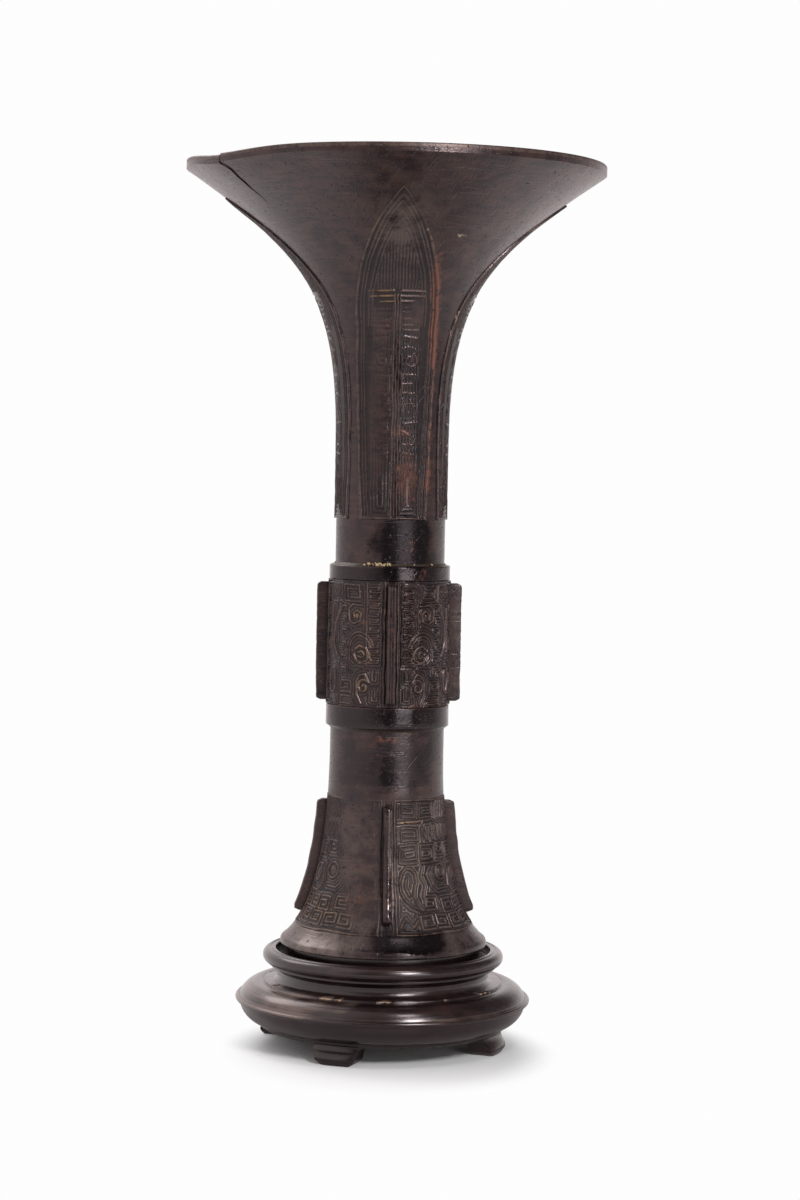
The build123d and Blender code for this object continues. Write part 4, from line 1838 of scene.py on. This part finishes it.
@dataclass
class SpreadingFoot(CastSection):
    """The stem and spreading foot with its four panels and four flanges."""

    stem: ClassVar[str] = "foot"
    node: ClassVar[str] = "spreading_foot"
    panel_low: float = 7.2
    panel_high: float = 54.6
    panel_margin: float = 0.3
    panel_grid: tuple[int, int] = (280, 208)
    drawn_width: float = 40.0
    flutes: float = 0.0
    bulge: float = 0.3
    flange_wear: float = 0.2
    flange_nicks: float = 0.025
    flange_heel: float = 2.4
    stem_radius: float = 20.5
    wall: float = 2.8
    stem_length: float = 8.4
    edge_radius: float = 36.8
    lip_height: float = 2.4
    edge_round: float = 1.4
    hold: float = 40.4
    toe_out: float = 9.5
    toe_rise: float = 7.5
    ring: float = 5.2
    recess: float = 0.25
    flange_root: float = 0.8
    flange_rise: float = 3.9

    def __post_init__(self) -> None:
        """Takes the foot's levels and radius from the frame."""
        self.low, _, self.radius = node_levels("spreading_foot")
        self.high = node_levels("knop")[0]
        self.edge = self.low + self.lip_height
        self.stem_low = self.high - self.stem_length
        toe = (self.edge_radius - self.toe_out, self.edge + self.toe_rise)
        outside = Profile(self.edge_radius, self.edge)
        hold = (self.stem_radius, self.stem_low - self.hold)
        outside.curve(toe, hold, (self.stem_radius, self.stem_low), 90)
        self.outside = outside.line(self.stem_radius, self.high, 5).array()
        self.flank = Flank(self.outside - (self.recess, 0))

    def flange_edges(self, levels: Array, inner: float, outer: float) -> tuple[Array, Array]:
        """A back and a front that follow the foot's wall."""
        wall = np.interp(levels, self.outside[:, 1], self.outside[:, 0])
        return wall - self.flange_root, wall + self.flange_rise

    def body(self) -> Piece:
        """The hollow foot, slightly sunk where the panels lie.

        Returns:
            The new object.
        """
        bore = self.radius - self.ring
        shift = bore - self.edge_radius
        outline = Profile(bore, self.low).line(self.radius - 0.5, self.low, 3)
        outline.arc(self.radius - 0.1, self.low + 0.9, 0.25, 4)
        sunk = self.outside[np.hypot(*(self.outside - self.outside[0]).T) > self.edge_round]
        toward = (sunk[0] - sunk[1]) / np.hypot(*(sunk[0] - sunk[1])) * self.edge_round * 0.7
        outline.curve((self.radius - 0.1, self.low + 2.6), sunk[0] + toward, sunk[0], 12)
        rise = sunk[:, 1] - self.low
        panel = step(self.panel_low, self.panel_low + 0.6, rise)
        panel *= 1 - step(self.panel_high - 0.6, self.panel_high, rise)
        sunk[:, 0] -= (self.recess + 0.1) * panel
        for radius, height in sunk[1:]:
            outline.line(radius, height)
        inside = self.stem_radius - self.wall
        outline.line(inside, self.high).line(inside, self.stem_low, 3)
        toe = (self.edge_radius - self.toe_out + shift, self.edge + self.toe_rise - self.lip_height)
        outline.curve((inside, self.stem_low - self.hold), toe, (bore, self.low), 40)
        return turned("foot_body", outline.array()[:-1], self.segments, Dents(Ripple(13, 24.0), 0.003))

    def drawing(self) -> Ornament:
        """Half of a mask on the foot, from its nose flange to the side flange.

        Returns:
            The drawing, across on a panel of one width and up from the foot's bottom.
        """
        art = Ornament(0.5, 0.5, echo=0.3, pitch=1.14, sway=0.16)
        low, high = self.panel_low + 0.6, self.panel_high - 0.6
        right = self.drawn_width - 2.6
        for level in (low, high):
            art.path([(2.9, level), (right, level)], 0.7, 0.5)
        for edge in (2.9, right):
            art.path([(edge, low), (edge, high)], 0.7)
        art.path([(4.2, 46.1), (15, 46.9)], 0.9, 0.8)
        art.spiral(9, 50.5, 6, 4.4)
        art.spiral(17.4, 50.3, 6.4, 4.8, flip_x=True)
        for column in range(6):
            x = 22.8 + column * 2.3
            art.path([(x, 47), (x + 1.8, 53.4)])
        art.spiral(9.4, 42, 7.4, 4.2, flip_y=True)
        for column in range(6):
            x = 15.4 + column * 3.4
            art.path([(x, 39.8), (x, 44.4), (x + 2.2, 40), (x + 2.2, 44.6)])
        for x, turn in ((8.4, True), (17.6, False), (32.2, True)):
            art.spiral(x, 35, 7, 6.2, 1.4, flip_x=turn)
        art.spiral(25.2, 36.4, 4.6, 4.2, 1.4)
        for x, y in ((23, 28.2), (33.2, 26.6)):
            art.oval(x, y, 2.5, 2.9, 0.7, 0.75)
            art.boss(x, y, 1.3, 1.6, 0.8)
        flame = [(7.2, 30.4), (5.5, 28.6), (4.7, 25.6), (4.8, 22.4), (6, 19.6), (8.4, 17.4), (12.6, 15.6)]
        flame += [(10.6, 18.2), (9.7, 20.6), (10.3, 23), (11.3, 25.6), (10.8, 28.4), (9.2, 30), flame[0]]
        art.path(flame, 0.6, 0.8)
        art.path([(7.4, 26.6), (6.9, 23.8), (8, 20.8)], 0.6, 0.65)
        art.path([(14.4, 30.6), (13.2, 27.4), (14.8, 23.8), (13.4, 20.6), (14.6, 18.4)], 0.6, 0.65)
        art.path([(19.4, 30.4), (17.2, 28), (18.8, 24.2), (20.8, 22.4), (25.2, 22.6)], 0.6, 0.65)
        art.path([(27, 31), (28.6, 27.4), (27.6, 23), (30.4, 20.4), (35, 20.8)], 0.6, 0.6)
        for x, turn in ((16.2, False), (23.6, True), (29.6, False), (34.6, True)):
            art.spiral(x, 17.6 if x < 20 else 16.8, 4.6, 4.2, flip_x=turn, flip_y=turn)
        for x, turn in ((13.4, True), (19.4, False), (25.4, True), (31.4, False)):
            art.spiral(x, 11.6, 4.6, 4.4, flip_x=turn)
        art.path([(4, 10.2), (6, 13.6), (8.2, 10.4), (10.2, 12.6)])
        return art


@dataclass
class Joins:
    """The soldered corners above and below the knop, and crumbs left on its ledge."""

    finishes: Finishes
    scatter: CrumbScatter
    crumb_radius: float = 20.15
    crumb_size: float = 0.66

    def build(self) -> None:
        """Dresses the solder and strews the crumbs."""
        for node in ("upper_solder_bead", "lower_solder_bead"):
            self.finishes.keep(node, Slot.SOLDER)
        self.finishes.keep("base_disc", Slot.BRONZE)
        ledge = node_levels("knop")[1]
        for name, start, sweep, count, seed in (
            ("solder_crumbs_front", -105.0, 12.0, 22, 3),
            ("solder_crumbs_left", -118.0, 13.0, 6, 5),
            ("solder_crumbs_right", -66.0, 40.0, 3, 8),
            ("solder_crumbs_back", 30.0, 130.0, 14, 12),
        ):
            values = {
                "Radius": self.crumb_radius * MM, "Height": ledge * MM, "Start": math.radians(start),
                "Sweep": math.radians(sweep), "Count": count, "Size": self.crumb_size * MM,
                "Spread": 0.5 * MM, "Seed": seed, "Material": self.finishes.solder,
            }
            piece = self.scatter.strew(name, values)
            write_attribute(piece.data, "crest", np.ones(len(piece.data.vertices)))
            self.finishes.settle(piece, Body.VESSEL, Slot.SOLDER)


@dataclass
class Stand:
    """The turned stand: collar, base and four bracket feet."""

    finishes: Finishes
    polar: PolarArray
    seat_radius: float = 34.8
    rim_inner: float = 38.8
    rim_radius: float = 43.8
    rim_height: float = 5.2
    seat_rise: float = 1.7
    moat_depth: float = 4.0
    fillet_height: float = 1.1
    fillet_inset: float = 3.0
    waist_radius: float = 38.1
    base_top: float = 42.9
    cushion_height: float = 5.4
    bead_height: float = 2.1
    groove_radius: float = 51.7
    base_bottom: float = 44.9
    foot_half_width: float = 7.5
    foot_depth: float = 9.0
    foot_wing: float = 2.6
    foot_wing_low: float = 2.6
    foot_wing_power: float = 2.6
    foot_cut: float = 2.2
    foot_grooves: Pair = (1.9, 5.0)
    foot_groove_width: float = 0.3
    foot_groove_depth: float = 0.03
    toe_out: float = 1.3
    toe_share: float = 0.33
    toe_spread: float = 0.27
    ankle_in: float = 0.9
    ankle_share: float = 0.55
    first_foot: float = -24.0
    segments: int = 288
    foot_levels: int = 30
    dents: Dents = Dents(Ripple(51, 40.0), 0.0012)

    def __post_init__(self) -> None:
        """Takes the stand's levels from the frame."""
        self.seat = node_levels("stand_collar")[1]
        self.base_low, self.collar_low, self.bead_radius = node_levels("stand_base")

    def build(self) -> None:
        """Builds the three turned and carved parts."""
        self.finishes.settle(self.collar(), Body.STAND, Slot.HARDWOOD, "stand_collar")
        self.finishes.settle(self.base(), Body.STAND, Slot.HARDWOOD, "stand_base")
        nodes = [side.named("stand_foot") for side in Side]
        self.finishes.settle(self.feet(), Body.STAND, Slot.HARDWOOD, *nodes)

    def collar(self) -> Piece:
        """The collar with its seat, moat, rim and waist.

        Returns:
            The new object.
        """
        rim = self.seat - self.seat_rise
        torus = rim - self.rim_height
        fillet = torus - self.fillet_height
        lip = self.rim_radius - self.fillet_inset
        outline = Profile(0.0, self.collar_low).line(self.waist_radius + 1.4, self.collar_low, 3)
        outline.arc(self.waist_radius, self.collar_low + 2.2, -0.35, 8)
        outline.line(self.waist_radius, fillet - 1.6, 3)
        outline.arc(lip - 0.3, fillet, -0.4, 8)
        outline.line(lip + 0.1, fillet + 0.1).line(lip + 0.1, torus - 0.1).line(lip - 0.2, torus)
        outline.arc(lip + 0.4, rim - 0.2, 2.6, 22)
        outline.line(lip + 0.2, rim - 0.5).line(lip - 0.2, rim - 0.45)
        outline.arc(self.rim_inner + 0.1, rim - 0.15, 0.28, 6)
        outline.line(self.rim_inner, rim - 0.5).line(self.rim_inner, rim - self.moat_depth, 3)
        outline.line(self.seat_radius, rim - self.moat_depth, 2).line(self.seat_radius, self.seat, 3)
        outline.line(0.0, self.seat, 4)
        return turned("stand_collar_turned", outline.array(0.22), self.segments, self.dents)

    def base(self) -> Piece:
        """The base with its cushion, bead and ovolo.

        Returns:
            The new object.
        """
        low, high = self.base_low, self.collar_low
        foot, groove, top = self.base_bottom, self.groove_radius, self.base_top
        cushion_low = high - self.cushion_height
        bead_low = cushion_low - self.bead_height
        bead_out = self.bead_radius - groove - 0.15
        outline = Profile(0.0, low).line(foot - 1.2, low, 3).arc(foot, low + 0.9, 0.25, 5)
        outline.line(foot + 0.1, low + 1.4).line(foot + 0.6, low + 1.6).arc(groove, bead_low, 1.5, 22)
        outline.line(groove + 0.1, bead_low + 0.3).arc(groove + 0.1, cushion_low - 0.2, bead_out, 10)
        outline.line(groove, cushion_low).arc(top + 0.8, high - 0.7, 1.7, 26)
        outline.line(top + 0.5, high - 0.9).line(top + 0.1, high - 0.7).line(top, high - 0.1)
        outline.line(top - 0.6, high).line(0.0, high, 4)
        piece = turned("stand_base_turned", outline.array(0.25), self.segments, self.dents)
        self._chip(piece)
        return piece

    def _chip(self, piece: Piece) -> None:
        """Chips the base's top edge and rubs its bead, and stores where the wood is worn, where its bead
        holds dust, and where its left side is lightened with painted sheen and dust.

        Args:
            piece: The turned base.
        """
        points = mesh_points(piece.data)
        reach = np.hypot(points[:, 0], points[:, 1])
        level = points[:, 2]
        edge = np.exp(-(((reach - self.base_top) / 0.55) ** 2) - ((level - self.collar_low) / 0.6) ** 2)
        bite = edge * step(0.35, 0.75, Ripple(61, 9.0).at(points) + 0.5 * Ripple(63, 2.5).at(points))
        cushion_low = self.collar_low - self.cushion_height
        line = bell(level - cushion_low, 0.45) * (reach > self.groove_radius - 1.0)
        leftward = -points[:, 0] / np.maximum(reach, 1.0)
        # painted sheen and dust: the left side of the cushion and above is lightened, where the light falls
        # on it
        left_dust_and_sheen = step(0.0, 0.9, leftward + 0.2 * Ripple(67, 12.0).at(points)) * (level > cushion_low - 1.0)
        points[:, :2] *= (1 - 0.5 * bite / np.maximum(reach, 1.0))[:, None]
        points[:, 2] -= 0.35 * bite
        move_points(piece.data, points)
        write_attribute(piece.data, "crest", PLAIN_CREST + 0.5 * bite + 0.2 * np.maximum(line, left_dust_and_sheen))

    def feet(self) -> Piece:
        """The four bracket feet as one piece.

        Returns:
            The new object.
        """
        tall = self.base_low
        levels = np.linspace(0, tall + 0.6, self.foot_levels)
        half = self.foot_half_width - self.foot_cut * np.clip(1 - levels / self.foot_cut, 0, 1) ** 1.5
        wing = np.clip((levels - self.foot_wing_low) / (tall - self.foot_wing_low), 0, 1)
        half += self.foot_wing * wing**self.foot_wing_power
        groove = sum(bell(levels - level, self.foot_groove_width) for level in self.foot_grooves)
        share = np.clip(levels / tall, 0, 1)
        toe = self.toe_out * bell(share - self.toe_share, self.toe_spread)
        toe -= self.ankle_in * step(self.ankle_share, 1.0, share)
        front = self.base_bottom - 0.2 + toe - self.foot_groove_depth * groove
        back = self.base_bottom - self.foot_depth
        share = np.linspace(-1, 1, 17)
        sag = (1 - np.abs(share) ** 6) * 0.5 - 0.5
        sections = []
        for level, wide, near in zip(levels, half, front):
            bow = (share * wide) ** 2 / (2 * self.base_bottom)
            x = np.concatenate([near + sag - bow, np.full(5, back)])
            y = np.concatenate([share * wide, np.linspace(wide, -wide, 5)])
            sections.append(np.stack([x, y, np.full(len(x), level)], -1))
        draft = Draft()
        worn = PLAIN_CREST + 0.2 * bell(levels - 0.4, 0.6)
        draft.tube(np.array(sections), worn[:, None])
        bracket = draft.mesh("bracket", sharp=45.0)
        return self.polar.repeat(bracket, "stand_feet_carved", self.first_foot, self.finishes.hardwood)


@dataclass(frozen=True)
class Lamp:
    """A soft rectangular light: where it hangs, what it faces, its size in metres and its watts."""

    name: str
    place: Point
    aim: Point
    size: Point
    power: float

    def hang(self) -> None:
        """Adds the light."""
        data = bpy.data.lights.new(self.name, "AREA")
        data.shape = "RECTANGLE"
        data.size, data.size_y = self.size
        data.energy = self.power
        light = add_object(self.name, data)
        light.location = self.place
        light.rotation_euler = (Vector(self.aim) - Vector(self.place)).to_track_quat("-Z", "Y").to_euler()


@dataclass
class Studio:
    """Camera, world, lights and floor."""

    picture: tuple[int, int] = (800, 1200)
    distance: float = 1.0
    eye: float = 0.2105
    pixel: float = 0.35976
    azimuth: float = -2.4
    pitch: float = 2.847
    yaw: float = 0.2206
    roll: float = 1.037
    sensor: float = 36.0
    white: Colour = (0.985, 0.985, 0.985)
    room_dim: Colour = (0.10, 0.093, 0.093)
    room_bright: Colour = (1.0, 0.96, 0.95)
    floor_seen: Colour = (0.93, 0.93, 0.94)
    floor_mirrored: Colour = (0.5, 0.48, 0.48)
    floor_rings: Point = (60.0, 120.0, 240.0, 480.0, 900.0)
    floor_segments: int = 96
    shadow_centre: Point = (0.0015, -0.016, 0.0)
    shadow_oval: Point = (1.08, 0.92, 1.0)
    shadow_fade: Pair = (0.046, 0.067)
    mirrored_centre: Point = (0.06, -0.03, 0.0)
    mirrored_fade: Pair = (0.1, 0.22)
    lamps: tuple[Lamp, ...] = (
        Lamp("key", (0.40, -0.89, 0.62), (0.0, 0.0, 0.12), (0.25, 0.25), 7.6),
        Lamp("high", (0.28, -0.55, 1.05), (0.0, 0.0, 0.02), (0.2, 0.2), 1.7),
        Lamp("window", (0.50, -0.90, 0.18), (0.0, 0.0, 0.17), (0.5, 0.32), 1.85),
        Lamp("left", (-0.62, 0.56, 0.86), (0.0, 0.0, 0.08), (0.5, 0.5), 2.2),
    )

    def build(self) -> None:
        """Sets up everything that isn't part of the object."""
        self.camera()
        self.world()
        self.floor()
        for lamp in self.lamps:
            lamp.hang()
        bpy.context.scene.view_settings.view_transform = "Standard"

    def camera(self) -> None:
        """Places the camera at the photograph's viewing angle."""
        data = bpy.data.cameras.new("camera")
        data.sensor_width = self.sensor
        focal = self.distance / MM / self.pixel
        data.lens = focal / max(self.picture) * self.sensor
        turn = math.radians(self.azimuth)
        look_turn = turn - math.radians(self.yaw)
        pitch, roll = math.radians(self.pitch), math.radians(self.roll)
        right = Vector((math.cos(look_turn), math.sin(look_turn), 0.0))
        level = Vector((-math.sin(look_turn), math.cos(look_turn), 0.0))
        ahead = level * math.cos(pitch) - Vector((0.0, 0.0, math.sin(pitch)))
        up = right.cross(ahead)
        side = right * math.cos(roll) + up * math.sin(roll)
        head = up * math.cos(roll) - right * math.sin(roll)
        matrix = Matrix((side, head, -ahead)).transposed().to_4x4()
        out = Vector((math.sin(turn), -math.cos(turn), 0.0))
        matrix.translation = out * self.distance + Vector((0.0, 0.0, self.eye))
        camera = add_object("camera", data)
        camera.matrix_world = matrix
        bpy.context.scene.camera = camera

    def world(self) -> None:
        """Makes a white room that is dimmer on the camera's side."""
        world = bpy.data.worlds.new("white_room")
        world.use_nodes = True
        graph = Graph(world.node_tree)
        heading = graph.out("ShaderNodeTexCoord", output="Generated")
        parts = graph.node("ShaderNodeSeparateXYZ", {0: heading})
        rightward, backward, upward = (Sock(graph, output) for output in parts.outputs)
        leftward = rightward * -1.0
        sides = leftward.over(0.1, 0.95) * 0.85 + rightward.over(0.7, 1.0) * 0.25
        wall = backward.over(-0.1, 0.6) * (upward + rightward * 0.5).over(0.75, 0.35)
        above = (upward * 0.8 + leftward * 0.8).over(0.5, 1.15) * 0.8
        bright = (sides + wall + above).clamped()
        room = graph.mix(bright, self.room_dim, self.room_bright)
        seen = graph.out("ShaderNodeLightPath", output="Is Camera Ray")
        colour = graph.mix(seen, room, self.white)
        shade = graph.out("ShaderNodeBackground", {"Color": colour, "Strength": 1.0})
        graph.node("ShaderNodeOutputWorld", {"Surface": shade})
        bpy.context.scene.world = world

    def floor(self) -> None:
        """Lays a pale round floor that fades into the white room."""
        draft = Draft()
        radii = np.array(self.floor_rings)[:, None]
        angles = np.linspace(0, math.tau, self.floor_segments, endpoint=False)
        flat = np.zeros((len(radii), len(angles)))
        index = wrapped(draft.add(np.stack([radii * np.cos(angles), radii * np.sin(angles), flat], -1)))
        draft.quads(index, flip=True)
        hub = draft.add(np.zeros((1, 3)))
        draft.fan(int(hub[0]), index[0])
        floor = draft.mesh("floor")
        material, graph = new_material("pale_floor")
        where = graph.where()
        beside = graph.vector("SUBTRACT", where, self.shadow_centre)
        away = graph.length(graph.vector("MULTIPLY", beside, self.shadow_oval))
        apart = graph.length(graph.vector("SUBTRACT", where, self.mirrored_centre))
        seen = graph.out("ShaderNodeLightPath", output="Is Camera Ray")
        pale = graph.mix(seen, self.floor_mirrored, self.floor_seen)
        share = seen * away.over(*self.shadow_fade) + (1.0 - seen) * apart.over(*self.mirrored_fade)
        shade = graph.out("ShaderNodeMixShader", {
            0: share,
            1: graph.out("ShaderNodeBsdfDiffuse", {"Color": pale}),
            2: graph.out("ShaderNodeEmission", {"Color": (*self.white, 1.0), "Strength": 1.0}),
        })
        graph.node("ShaderNodeOutputMaterial", {"Surface": shade})
        floor.data.materials.append(material)


def main() -> None:
    logging.basicConfig(level=logging.INFO, format="%(message)s")
    finishes = Finishes.build()
    wear = Wear()
    polar = PolarArray()
    Trumpet(finishes, wear).build()
    Knop(finishes, wear, polar).build()
    SpreadingFoot(finishes, wear, polar).build()
    Joins(finishes, CrumbScatter()).build()
    Stand(finishes, polar).build()
    Studio().build()


if __name__ == "__main__":
    main()
